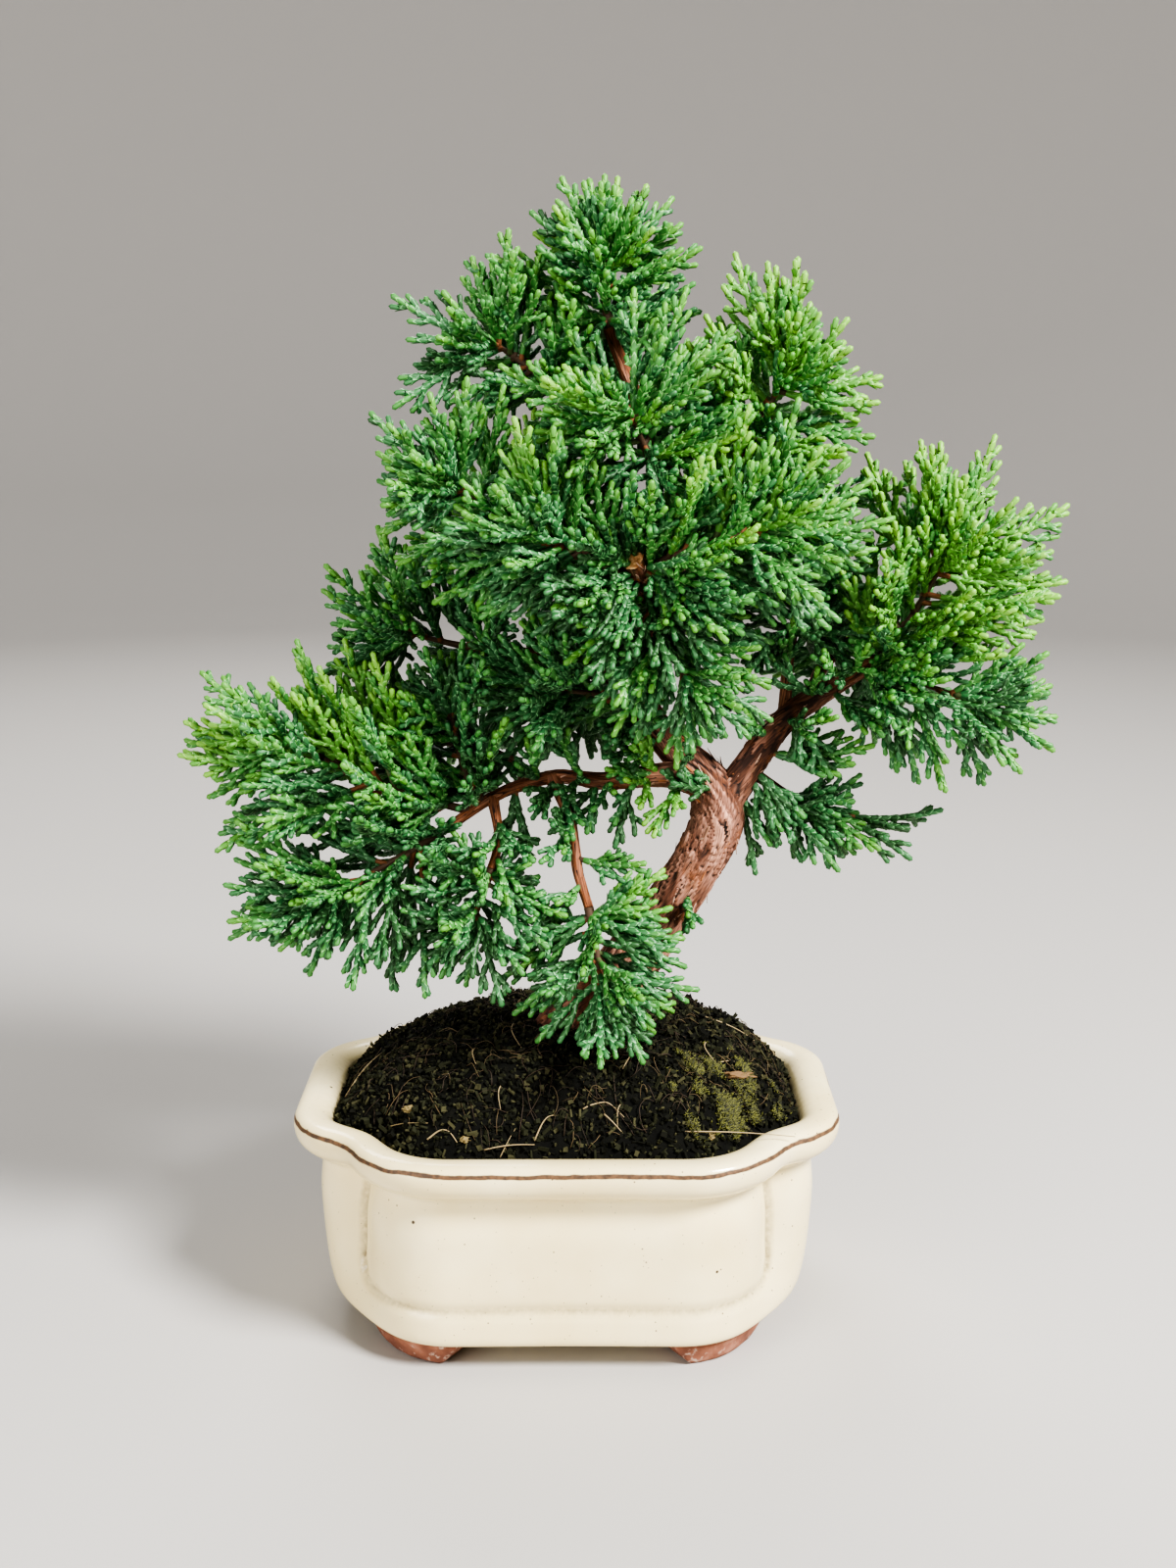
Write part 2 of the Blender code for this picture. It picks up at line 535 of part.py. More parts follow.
def make_mass(name, limbs, stems, guards, collection, spare, green):
    """One mass of foliage: its stem, and sprays that leave the stem for the tips of its shoots,
    each turned to the side where it crosses the others least."""
    carrier, _, middle, radii, count, _ = MASSES[name]
    rng = random.Random(f"{SEED} {name}")
    stem = stems[name]
    spans = len(stem.points) // stem.steps
    run = stem.points[-1] - stem.points[0]
    planes = cell_planes(name)
    mass = as_object(stem.solid(), name, green, collection)
    others = [guard for key, guard in guards.items() if key != name]
    placed, blades = [], []
    for tip in shoot_tips(name, rng):
        if len(placed) == count:
            break
        if any((tip - other).length < TIP_SPACING * sum(radii) / 3 for other in placed):
            continue
        level = (tip - stem.points[0]).dot(run) / run.length_squared
        share = min(max(level - ROOT_LEAD, ROOT_RANGE[0]), ROOT_RANGE[1])
        while share < ROOT_RANGE[1] and not in_cell(planes, stem.place(share * spans)):
            share += ROOT_STEP
        root = stem.place(share * spans)
        toward = Vector((math.copysign(FACING[0], tip.x - CROWN_MIDDLE_X), math.copysign(FACING[1], tip.y),
                         FACING[2]))
        best = None
        for shrink in SHOOT_SHARES:
            if (tip - root).length * shrink < SHORTEST_SHOOT:
                break
            facing = toward + Vector(rng.uniform(-FACING_SPREAD, FACING_SPREAD) for _ in range(3))
            bm = bmesh.new()
            spray_blade(bm, root, root.lerp(tip, shrink), facing, planes, rng)
            tree = BVHTree.FromBMesh(bm)
            if all(in_cell(planes, v.co) for v in bm.verts) and not any(tree.overlap(g) for g in others):
                crossings = sum(len(tree.overlap(blade)) for blade in blades)
                if best is None or crossings < best[0]:
                    best = (crossings, bm, tree)
        if best and best[0] <= MOST_CROSSINGS:
            _, bm, tree = best
            as_object(bm, f"{name}_spray", green, spare)
            placed.append(tip)
            blades.append(tree)
    join(mass, spare, "UNION")
    as_object(limbs[carrier].solid(GAP), "socket", green, spare)
    join(mass, spare, "DIFFERENCE")
    keep_largest(mass)


def main():
    for old in list(bpy.data.objects):
        bpy.data.objects.remove(old)
    scene = bpy.context.scene.collection
    tree = bpy.data.collections.new("kishu juniper bonsai")
    drains = bpy.data.collections.new("drainage cutters")
    spare = bpy.data.collections.new("joining")
    for collection in (tree, drains, spare):
        scene.children.link(collection)

    glaze = finish("ivory glaze", 0.76, 0.70, 0.56, 0.18)
    clay = finish("red clay", 0.36, 0.13, 0.09, 0.85)
    earth = finish("dark peat", 0.012, 0.010, 0.007, 0.95)
    bark = finish("juniper bark", 0.20, 0.11, 0.07, 0.85)
    green = finish("juniper leaf", 0.035, 0.16, 0.03, 0.55)

    make_pot(tree, drains, glaze)
    corners = {"front_left": (-1, -1), "front_right": (1, -1), "back_left": (-1, 1), "back_right": (1, 1)}
    for corner, quarter in corners.items():
        make_foot(f"foot_{corner}", quarter, tree, clay)
    make_soil(tree, earth)
    limbs = {"trunk": Limb([p for p, _ in TRUNK], [r for _, r in TRUNK], 2, TRUNK_SIDES, trunk_swell)}
    make_trunk(limbs["trunk"], tree, bark)
    for name, (carrier, along, places, radii) in BOUGHS.items():
        start = limbs[carrier].place(along)
        limbs[name] = Limb((start, *places), radii, 2, BOUGH_SIDES)
        bough = as_object(limbs[name].solid(), name, bark, tree)
        as_object(limbs[carrier].solid(GAP), "socket", bark, spare)
        join(bough, spare, "DIFFERENCE")
        keep_largest(bough)

    stems = {}
    for name, (carrier, along, middle, _, _, _) in MASSES.items():
        start = limbs[carrier].place(along)
        away = (limbs[carrier].place(along) - limbs[carrier].place(along - 0.3)).normalized()
        bend = start.lerp(Vector(middle), 0.4) + away * 2
        stems[name] = Limb((start, bend, middle), STEM_RADII, 2, STEM_SIDES)
    guards = {name: bvh_of(limb.solid(GAP)) for name, limb in (limbs | stems).items()}
    for name in MASSES:
        make_mass(name, limbs, stems, guards, tree, spare, green)

    corners = [Vector(c) for piece in tree.objects for c in piece.bound_box]
    low = Vector(min(c[k] for c in corners) for k in range(3))
    high = Vector(max(c[k] for c in corners) for k in range(3))
    shift = Vector((-(low.x + high.x) / 2, -(low.y + high.y) / 2, 0))
    for piece in list(tree.objects) + list(drains.objects):
        piece.data.transform(Matrix.Translation(shift))
    for piece in tree.objects:
        if piece.name in limbs:
            piece.data.set_sharp_from_angle(angle=math.radians(40))
    bpy.data.collections.remove(spare)


main()
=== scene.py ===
"""Looks of the kishu juniper bonsai: glazed pot, clay feet, peat, peeling bark and cords of scale leaves.

Sizes and places are in millimetres from the middle of the pot, with z = 0 under its feet, as in the
part's source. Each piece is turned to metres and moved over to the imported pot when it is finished.
"""

import math
import random

import bmesh
import bpy
import numpy as np
from mathutils import Matrix, Vector, noise
from mathutils.bvhtree import BVHTree


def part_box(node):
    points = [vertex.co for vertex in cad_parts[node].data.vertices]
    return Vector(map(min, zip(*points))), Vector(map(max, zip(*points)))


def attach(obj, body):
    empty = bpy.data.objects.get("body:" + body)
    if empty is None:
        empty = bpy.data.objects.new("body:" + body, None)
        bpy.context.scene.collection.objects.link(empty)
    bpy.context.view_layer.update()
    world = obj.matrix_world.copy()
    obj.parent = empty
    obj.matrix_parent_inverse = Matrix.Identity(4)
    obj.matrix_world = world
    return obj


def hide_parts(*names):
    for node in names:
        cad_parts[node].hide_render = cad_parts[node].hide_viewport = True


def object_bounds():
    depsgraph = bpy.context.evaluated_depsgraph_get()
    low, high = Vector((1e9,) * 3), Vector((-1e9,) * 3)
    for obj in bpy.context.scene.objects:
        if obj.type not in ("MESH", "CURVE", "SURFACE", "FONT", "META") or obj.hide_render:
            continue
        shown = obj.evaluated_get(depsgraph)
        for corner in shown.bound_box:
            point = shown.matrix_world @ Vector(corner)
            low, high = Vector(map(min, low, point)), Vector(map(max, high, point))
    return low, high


MM = 0.001
SEED = 7
GOLDEN_ANGLE = math.pi * (3 - math.sqrt(5))

# Camera: where it stands from the pot's middle, its height, how far it looks down, and its lens
CAMERA_PLACE = (5.8, -470.8, 249.7)
CAMERA_TILT = math.radians(77.62)
CAMERA_LENS = 40.5
SENSOR_WIDTH = 36.0

# Stage: a round floor that curves up into a wall, with the lights and every camera inside it
FLOOR_RADIUS = 1500.0
WALL_CURVE = 700.0
WALL_HEIGHT = 1900.0
STAGE_SIDES = 96
WALL_CURVE_STEPS = 8

# Lights: place, width across and power in watts, the place they face, and the sky over the open top
LIGHTS = (
    ("key", (820, -650, 1020), 420, 47.0),
    ("fill", (-700, -850, 380), 800, 8.5),
    ("back", (-300, 900, 1100), 700, 9.0),
)
LIGHT_TARGET = (0, 0, 170)
SKY_COLOR = "#e4e6e8"
SKY_STRENGTH = 0.42

# Pot: an indented oblong of two side lobes and a deeper panel at front and back
FOOT_HEIGHT = 6.7
LOBE_HALF_WIDTH = 75.0
LOBE_HALF_DEPTH = 39.0
LOBE_CORNER = 22.0
PANEL_HALF_WIDTH = 60.0
PANEL_HALF_DEPTH = 59.0
PANEL_CORNER = 30.0
POT_PLAN_POINTS = 392
RIM_HEIGHT = 60.0
# Each level of the wall is how far it is drawn in from the rim's edge, its height, how softly its
# notches are rounded, and how much further the side lobes are drawn in
OUTER_WALL = (
    (7.6, 7.0, 13.0, 7.0), (5.9, 7.8, 13.0, 6.3), (5.2, 9.4, 13.0, 5.4), (5.3, 13.0, 12.0, 3.9),
    (5.8, 19.0, 9.0, 2.4), (6.2, 28.0, 6.0, 1.2), (6.3, 38.0, 5.0, 0.6), (7.4, 45.8, 5.0, 0.0),
    (6.4, 48.4, 5.0, 0.0), (2.6, 50.8, 5.0, 0.0), (0.6, 53.2, 5.0, 0.0), (0.0, 56.6, 5.0, 0.0),
)
RIM_AND_INNER_WALL = (
    (1.0, 59.2, 5.0, 0.0), (3.8, RIM_HEIGHT, 7.0, 0.0), (7.8, 59.4, 10.0, 0.0), (10.6, 56.5, 13.0, 0.0),
    (11.2, 50.0, 13.0, 0.0), (14.6, 15.0, 13.0, 0.0), (18.4, 13.0, 13.0, 0.0),
)
POT_STEPS = 5
POT_WOBBLE = 0.35
# Each panel stands proud inside a groove that runs down both notches and across above the pot's base
GROOVE_DEPTH = 2.1
GROOVE_HALF_WIDTH = 1.15
GROOVE_CORNER = 8.0
GROOVE_BASE = 17.5
GROOVE_TOP = 45.0
GROOVE_FADE = 8.0
# The stretch above the base is this share as deep as the ones in the notches
BASE_GROOVE_SHARE = 0.45
PANEL_BULGE = 0.35
RIM_LINE_HEIGHT = 57.9
RIM_LINE_HALF = 0.62
# What the rim line's distance says on the inside, where there is no line
NO_LINE = 9.0
# Iron flecks: the width of their cells, a fleck's reach and the share of cells without one, and its
# tint. They are faint ones 0.4 and 0.6 mm across, and a rarer dark one of 1 mm
FLECKS = ((1.7, 0.11, 0.55, "#a99a79"), (2.9, 0.1, 0.6, "#85745a"), (13.0, 0.045, 0.5, "#463828"))
DRAIN_RADIUS = 6.0
DRAIN_X = 26.0
DRAIN_Z = 10.0
DRAIN_DEPTH = 12.0

# Each foot follows a corner of the pot between two bearings. Its outer and its inner wall are drawn in
# from the rim's edge by the first value at the base and by the second at the top
FOOT_BEARINGS = (math.radians(32), math.radians(61))
FOOT_OUTER_INSETS = (10.0, 7.9)
FOOT_INNER_INSETS = (21.0, 24.0)
FOOT_BASE_TRIM = math.radians(5)
FOOT_STEPS = 26
FOOT_END_STEPS = 8
FOOT_LEVELS = 9
FOOT_ROUGHNESS = 0.22

# Soil: mounds up to a flat collar round the trunk
SOIL_EDGE = (11.3, 55.8, 13.0, 0.0)
SOIL_FLOOR = (19.0, 13.4, 13.0, 0.0)
SOIL_PEAK = 78.6
SOIL_ROUNDNESS = 3.0
SOIL_LUMPS = 2.2
LUMP_SIZE = 11.0
LUMP_FADE = 5.0
SOIL_GRAIN = 1.1
COLLAR_RADIUS = 14.5
SOIL_PLAN_POINTS = 200
SOIL_RINGS = 44
# How far in from the rim's edge the crumbs, the fibres' starts, the rest of the fibres and the moss
# keep, and how far crumbs and fibres start from the trunk's middle
CRUMB_INSET = 11.9
FIBRE_START_INSET = 13.5
FIBRE_INSET = 12.4
MOSS_INSET = 13.0
TRUNK_CLEARANCE = 9.0
CRUMBS = 12500
CRUMB_SIZES = (0.7, 2.2)
# The higher this power, the more of the crumbs are small ones
CRUMB_FINENESS = 2.3
# How far a crumb's middle stands over the peat, in shares of its size
CRUMB_LIFTS = (-0.1, 0.45)
# A crumb is a rough block or a splinter, stretched so along its three axes
CRUMB_STRETCHES = ((1.1, 0.9, 0.8), (2.1, 0.6, 0.45))
FIBRES = 620
FIBRE_RADII = (0.07, 0.16)
FIBRE_LENGTHS = (2.5, 9)
FIBRE_STEPS = 7
# How much a fibre bends all the way and wanders at each step, in radians, and how far its ends and,
# beyond that, its middle stand over the peat
FIBRE_BEND = 0.22
FIBRE_WANDER = 0.15
FIBRE_LIFT = 0.6
FIBRE_RISES = (0.2, 1.6)
MOSS_MIDDLE = (45, -30)
MOSS_REACH = (19, 17)
MOSS_LEAVES = 5600
MOSS_RADIUS = 0.3
MOSS_LENGTHS = (0.6, 1.5)
MOSS_LEAN = 0.45
PEAT_SHEEN = {"Specular IOR Level": 0.2}
# Shades of small things: name, colour, and the share of them that has it. The straws have the first
# shade of the fibres to themselves
CRUMB_SHADES = (("black", "#14140c", 3), ("dark olive", "#292a1b", 2), ("dry", "#43412c", 1))
FIBRE_SHADES = (("straw", "#948260", 0), ("tan", "#5f4e33", 3), ("dark", "#38291a", 5))
MOSS_SHADES = (("olive", "#3a3b13", 2), ("bright", "#5b5b20", 2), ("deep", "#20220d", 1))
STRAW_SHADE = 0
STRAW_STEPS = 12
STRAW_LIFT = 0.7
STRAW_CLEARANCE = 0.5
# Straws on the soil: their two ends in plan, how far the middle arches up and swings aside, and their
# radius
STRAWS = (
    ((-62, -7), (-53, 4), 1.5, 0, 0.42), ((-36, -43), (-28, -45), 0.6, -1.6, 0.36),
    ((-21, -46), (-8, -45.5), 0.8, 0.5, 0.34), ((-17, -47), (-13, -43), 1.0, 0.4, 0.2),
    ((-8, -45), (-3, -41), 2.2, 0, 0.32), ((4.5, -40), (16, -42), 1.2, -2.2, 0.32),
    ((14.5, -39), (13.5, -43), 1.2, 0.5, 0.24), ((10, -41), (15, -44), 0.8, 0.6, 0.3),
    ((31, -43.5), (60, -40), 0.8, 0.8, 0.3), ((39, 3), (62, 12), 3.0, 1.5, 0.3),
    ((59, 16), (60, 10), 1.5, 0, 0.36), ((38, -15), (41, -22), 1.6, 2.0, 0.3),
    ((41, -21), (52, -19), 1.4, -1.5, 0.26), ((-25, -17), (-24, -29), 1.0, 0.8, 0.36),
    ((-17, -34), (-17, -39), 1.2, 0.7, 0.26), ((-47, -32), (-36, -40), 0.8, 1.0, 0.2),
    ((-15, -5), (-12, -22), 1.2, 1.5, 0.24), ((15, -32), (18, -26), 1.6, 0.6, 0.28),
)
# Scraps half sunk in the peat: name, place in plan, three sizes and turn
LITTER = (
    ("dry_leaf_scrap", (-41, -33), (4.6, 3.4, 1.7), 0.4),
    ("bark_chip", (46.5, -22.5), (8.6, 3.0, 2.0), 0.35),
    ("seed_husk", (38, -42), (2.4, 1.6, 1.8), 1.0),
    ("wood_crumb", (-26, -44.5), (3.0, 2.2, 1.6), 1.0),
)

# Trunk: leans right to the fork, turns back and winds up through the crown. Each place has its radius
TRUNK = (
    ((0, 0, 68), 9.4), ((14, 0, 90), 8.0), ((23, 0, 104), 7.2), ((35, 0, 123), 6.7),
    ((41.5, 0, 137), 7.3), ((38, 1, 148), 5.6), ((28, 3, 157), 4.3), ((20, 5, 170), 3.7),
    ((22, 2, 188), 3.4), ((28, 0, 205), 3.0), ((31, 0, 221), 2.6), ((22, 0, 241), 2.1),
    ((15, 0, 257), 1.7), ((11, 0, 267), 1.3),
)
ROOT_FLARE = 0.42
FLARE_HEIGHT = 9.0
FLARE_RIDGES = 5
FLUTE_DEPTH = 0.05
FLUTE_LENGTH = 11.0

# Boughs: the limb that carries each one, how many of that limb's spans along it they leave,
# the places they run through, and their radii at the two ends
BOUGHS = {
    "bough_left": ("trunk", 4.9,
                   ((26, -3, 149.5), (10, -4, 148), (-4, -3, 149), (-20, -6, 144), (-31, -10, 137)),
                   (4.4, 2.9, 2.0, 1.6, 1.3)),
    "bough_right": ("trunk", 4.1, ((50, 0, 152), (59, 0, 164), (72, -2, 174), (83, -5, 181)), (4.8, 2.0)),
    "bough_front": ("trunk", 8.3, ((22, -12, 195), (20, -23, 204), (17, -31, 210)), (3.0, 2.6)),
    "bough_shoulder": ("trunk", 8.8, ((12, -5, 207), (-3, -10, 211), (-9, -11, 213)), (2.2, 1.5)),
    "bough_upper_left": ("trunk", 11.3, ((10, 0, 246), (0, 0, 251)), (1.8, 1.4)),
    "bough_upper_right": ("trunk", 10.0, ((38, -5, 227), (45, -8, 236)), (2.1, 1.5)),
    "bough_crown_front": ("trunk", 10.4, ((26, -9, 231), (22, -17, 234)), (1.9, 1.4)),
    "bough_left_middle": ("trunk", 7.2, ((4, 6, 177), (-10, 7, 181), (-20, 6, 182)), (2.2, 1.4)),
    "bough_back_top": ("trunk", 10.8, ((24, 9, 240), (21, 17, 245)), (1.7, 1.3)),
    "bough_back_left_high": ("trunk", 8.6, ((16, 12, 203), (4, 24, 208)), (2.2, 1.5)),
    "bough_back_right_high": ("trunk", 9.1, ((38, 12, 211), (47, 21, 214)), (2.2, 1.5)),
    "bough_back_middle": ("trunk", 8.0, ((22, 14, 191), (22, 25, 194)), (2.2, 1.5)),
    "bough_back_low": ("trunk", 6.6, ((14, 18, 165), (6, 30, 166)), (2.4, 1.5)),
    "bough_drop": ("bough_left", 3.0, ((1, -10, 139), (3, -17, 127), (6, -23, 118)), (1.7, 1.2)),
    "bough_low_middle": ("bough_left", 4.0, ((-18, -13, 134), (-20, -17, 127)), (1.3, 1.1)),
    "bough_back_left_low": ("bough_left", 3.4, ((-14, 8, 150), (-23, 20, 152)), (1.8, 1.3)),
    "bough_right_inner": ("bough_right", 2.0, ((60, 4, 178), (61, 2, 187)), (1.7, 1.3)),
    "bough_right_low": ("bough_right", 0.9, ((55, 5, 146), (61, 6, 142)), (1.6, 1.2)),
    "bough_back_right_low": ("bough_right", 2.5, ((70, 14, 175), (75, 24, 178)), (1.9, 1.4)),
}
LIMB_STEPS = 2
STUB = "bough_front"
# Wood that shows through the crown from the front: the limb, how many spans along it, and the radius
# of the space that stays free before it, then how far that space runs towards the camera
SHOWN_WOOD = (("bough_front", 3.0, 5.2), ("bough_front", 2.6, 4.8), ("bough_front", 2.3, 3.8),
              ("trunk", 13.0, 2.6), ("trunk", 12.5, 2.8), ("trunk", 12.0, 2.8), ("trunk", 11.6, 2.4))
VIEW_DEPTH = 44

# Bark: strips that split lengthwise, wind slowly round the limb and peel off in layers
TRUNK_SIDES = 96
TRUNK_RING_GAP = 0.5
BOUGH_SIDES = 30
BOUGH_RING_GAP = 0.55
STRIP_WIDTH = 2.3
STRIP_LENGTH = 17.0
STRIP_DEPTH = 0.125
STRIP_SWING = 7.0
STRIP_SWING_RUN = 19.0
FIBRE_WIDTH = 0.55
FIBRE_RUN = 4.5
FIBRE_DEPTH = 0.075
KNOT_WIDTH = 5.0
KNOT_LENGTH = 7.0
KNOT_DEPTH = 0.05
BARK_TWIST = 0.035
# How young the wood looks falls from the first value with its radius over the second
YOUNG_BELOW = 1.3
YOUNG_FADE = 2.2
COLLAR_SWELL = 0.35
COLLAR_LENGTH = 3.5
TRUNK_SUNK = 1.5
FLAKES = 700
FLAKE_LENGTHS = (1.4, 6.0)
FLAKE_WIDTHS = (0.35, 1.1)
# How high a flake's loose end curls, in shares of its length, and how far over the peat flakes start
FLAKE_CURLS = (0.15, 0.8)
FLAKE_FLOOR = 4.0
# The limbs that flakes hang on, as often as their share, and the shades of those on the torn stub
FLAKE_LIMBS = ("trunk",) * 7 + ("bough_left",) * 2 + ("bough_right",) + (STUB,) * 4
FLAKE_SHADES = (("grey", "#b8937f", 2), ("brown", "#86604a", 2), ("dark", "#4a3226", 1),
                ("orange", "#a5683e", 1))
STUB_SHADES = (0, 1, 3, 3)
TWIG_SHADES = (("brown", "#4f3a29", 1), ("orange", "#7d4e2e", 2), ("green", "#4e5a33", 1))

# Foliage: the limb that carries each mass, how many spans along it, the mass's middle and three
# radii, its count of sprays, the furthest shoots, and how fresh and how lit its green is, from 0 to 1:
# the colour of new growth and painted light together, lighter on sunlit masses, darker on shaded ones
MASSES = {
    "mass_apex": ("trunk", 13, (11, 0, 284), (22, 20, 20), 15,
                  ((10, 0, 305), (-1, -4, 304), (21, 4, 303), (30, 0, 293), (33, -6, 278), (-9, 0, 296)),
                  0.6),
    "mass_upper_left": ("bough_upper_left", 2, (-18, 0, 263), (21, 20, 23), 11,
                        ((-24, 0, 285), (-35, 0, 270), (-38, -5, 257), (-12, 2, 283)), 0.45),
    "mass_shoulder": ("bough_shoulder", 3, (-27, -14, 227), (26, 22, 23), 11,
                      ((-50, -10, 246), (-48, -15, 236), (-47, -15, 224), (-44, -10, 207)), 0.5),
    "mass_upper_right": ("bough_upper_right", 2, (55, -11, 253), (24, 21, 25), 12,
                         ((53, -10, 282), (71, -15, 269), (39, -4, 270), (78, -18, 240)), 0.75),
    "mass_crown_front": ("bough_crown_front", 2, (17, -27, 245), (29, 21, 26), 12,
                         ((-4, -34, 254), (24, -32, 264), (38, -24, 262), (44, -22, 252)), 0.6),
    "mass_centre_left": ("bough_front", 2.0, (-4, -33, 215), (29, 20, 25), 12,
                         ((-26, -30, 201), (-30, -34, 220)), 0.5),
    "mass_centre_right": ("bough_front", 2.4, (48, -34, 218), (31, 20, 26), 12,
                          ((76, -30, 230), (75, -32, 212), (52, -42, 200), (62, -40, 238)), 0.65),
    "mass_hanging": ("bough_front", 1.5, (30, -32, 181), (24, 17, 24), 10,
                     ((28, -36, 158), (47, -31, 165), (12, -34, 166)), 0.5),
    "mass_left_middle": ("bough_left_middle", 3, (-42, 5, 187), (25, 23, 22), 10,
                         ((-66, 5, 199), (-63, 5, 187), (-61, 5, 174)), 0.4),
    "mass_centre_low": ("trunk", 6.7, (-2, -10, 174), (26, 21, 20), 9, ((-20, -14, 160),), 0.42),
    "mass_right_top": ("bough_right", 4, (99, -8, 208), (27, 26, 28), 14,
                       ((92, -5, 239), (122, -5, 222), (124, -10, 200), (77, -10, 232)), 0.9),
    "mass_right_low": ("bough_right", 3.5, (104, -8, 172), (25, 23, 26), 11,
                       ((127, -10, 184), (121, -10, 171), (113, -5, 147), (94, -12, 149)), 0.55),
    "mass_right_inner": ("bough_right_inner", 2, (62, -6, 203), (22, 21, 24), 9, (), 0.3),
    "mass_wisp": ("bough_right_low", 2, (78, 5, 136), (28, 13, 15), 4,
                  ((104, 5, 138), (95, 0, 125), (74, 2, 123)), 0.15),
    "mass_low_left_top": ("bough_left", 4.5, (-66, -12, 157), (36, 24, 23), 14,
                          ((-101, -12, 161), (-69, -10, 177), (-95, -15, 146), (-86, -12, 168),
                           (-48, -12, 175)), 0.6),
    "mass_low_left": ("bough_left", 5, (-60, -16, 121), (31, 23, 27), 14,
                      ((-88, -18, 130), (-83, -18, 112), (-69, -20, 98), (-47, -20, 94)), 0.4),
    "mass_left_inner": ("bough_left", 4.2, (-31, -4, 167), (21, 21, 20), 9, (), 0.4),
    "mass_low_middle": ("bough_low_middle", 2, (-24, -20, 115), (20, 17, 21), 10,
                        ((-27, -20, 95), (-11, -20, 98)), 0.35),
    "mass_front_low": ("bough_drop", 3, (9, -28, 99), (26, 19, 22), 11,
                       ((35, -28, 97), (20, -31, 80), (9, -31, 80), (-14, -28, 90), (28, -23, 118),
                        (26, -21, 128), (20, -22, 127), (30, -26, 107)), 0.45),
    "mass_back_top": ("bough_back_top", 2, (13, 25, 257), (24, 21, 23), 10,
                      ((4, 32, 276), (30, 30, 270)), 0.5),
    "mass_back_left_high": ("bough_back_left_high", 2, (-15, 33, 217), (28, 23, 26), 11,
                            ((-38, 38, 228), (-32, 46, 210)), 0.5),
    "mass_back_right_high": ("bough_back_right_high", 2, (57, 32, 222), (28, 23, 26), 11,
                             ((80, 36, 232), (66, 44, 240)), 0.6),
    "mass_back_middle": ("bough_back_middle", 2, (22, 43, 196), (26, 22, 26), 11,
                         ((22, 62, 206), (24, 58, 184)), 0.5),
    "mass_back_low": ("bough_back_low", 2, (-2, 42, 162), (27, 23, 23), 10,
                      ((-8, 60, 156), (12, 54, 146)), 0.4),
    "mass_back_left_low": ("bough_back_left_low", 2, (-42, 33, 152), (28, 23, 23), 10,
                           ((-66, 36, 160), (-56, 42, 138)), 0.45),
    "mass_back_right_low": ("bough_back_right_low", 2, (82, 37, 181), (28, 23, 26), 11,
                            ((106, 38, 188), (92, 44, 162)), 0.5),
}
# Sprigs that leave the bare wood by themselves: the limb, how many spans along it, the tip, and how
# fresh and lit its green is, new growth and painted light together as in the masses
SPRIGS = (
    ("bough_left", 0.6, (24, -15, 141), 0.9), ("bough_left", 1.0, (17, -13, 155), 0.8),
    ("bough_left", 1.5, (13, -9, 133), 0.3), ("bough_left", 2.1, (4, -11, 136), 0.35),
    ("bough_left", 2.4, (-3, -8, 164), 0.5), ("bough_left", 2.8, (-6, -13, 135), 0.3),
    ("bough_left", 3.2, (-13, -14, 158), 0.45), ("bough_left", 3.6, (-16, -9, 127), 0.3),
    ("trunk", 4.4, (28, -11, 153), 0.3), ("bough_right", 0.5, (29, -8, 150), 0.2),
    ("bough_right", 0.6, (52, -4, 126), 0.3), ("bough_right", 0.9, (56, -8, 133), 0.25),
    ("bough_right", 1.0, (62, -9, 137), 0.3), ("bough_right", 1.3, (78, -9, 152), 0.4),
    ("bough_right_low", 0.7, (69, -6, 124), 0.3), ("bough_right_low", 1.4, (80, -4, 127), 0.4),
    ("bough_right", 2.2, (66, -12, 154), 0.3), ("bough_right", 1.6, (46, -13, 168), 0.4),
    ("bough_right", 2.0, (67, -20, 170), 0.5), ("bough_right", 2.6, (60, -15, 182), 0.5),
    ("bough_right", 2.9, (84, -20, 163), 0.5), ("bough_right", 3.3, (72, -22, 188), 0.6),
    ("bough_right", 3.6, (92, -24, 176), 0.6), ("bough_right_inner", 1.0, (54, -10, 190), 0.4),
    ("trunk", 5.4, (32, -13, 163), 0.3), ("trunk", 6.2, (12, -12, 157), 0.3),
    ("bough_drop", 1.2, (-8, -20, 132), 0.4), ("bough_drop", 1.8, (14, -22, 131), 0.4),
    ("trunk", 2.7, (37, -15, 112), 0.4),
    ("bough_left", 1.2, (18, -17, 146), 0.85), ("bough_left", 1.9, (8, -18, 145), 0.4),
    ("bough_left", 2.4, (-1, -17, 151), 0.3), ("bough_left", 2.9, (-9, -18, 143), 0.35),
    ("bough_front", 2.5, (-2, -47, 206), 0.35), ("bough_front", 2.4, (2, -48, 196), 0.3),
    ("bough_front", 2.3, (12, -47, 186), 0.3), ("bough_front", 2.2, (25, -46, 181), 0.3),
    ("bough_front", 2.3, (38, -47, 190), 0.35), ("bough_front", 2.5, (44, -48, 203), 0.35),
    ("bough_front", 2.6, (40, -46, 214), 0.45), ("bough_front", 2.6, (0, -45, 218), 0.4),
    ("bough_low_middle", 0.5, (-10, -22, 133), 0.35), ("bough_low_middle", 1.0, (-27, -24, 127), 0.4),
    ("bough_low_middle", 1.5, (-13, -26, 121), 0.4), ("bough_right_low", 1.8, (74, -9, 139), 0.3),
    ("bough_drop", 0.7, (-3, -22, 141), 0.35), ("bough_drop", 2.4, (-4, -28, 121), 0.4),
)
STEM_RADII = (1.2, 0.7)
STEM_STEPS = 6
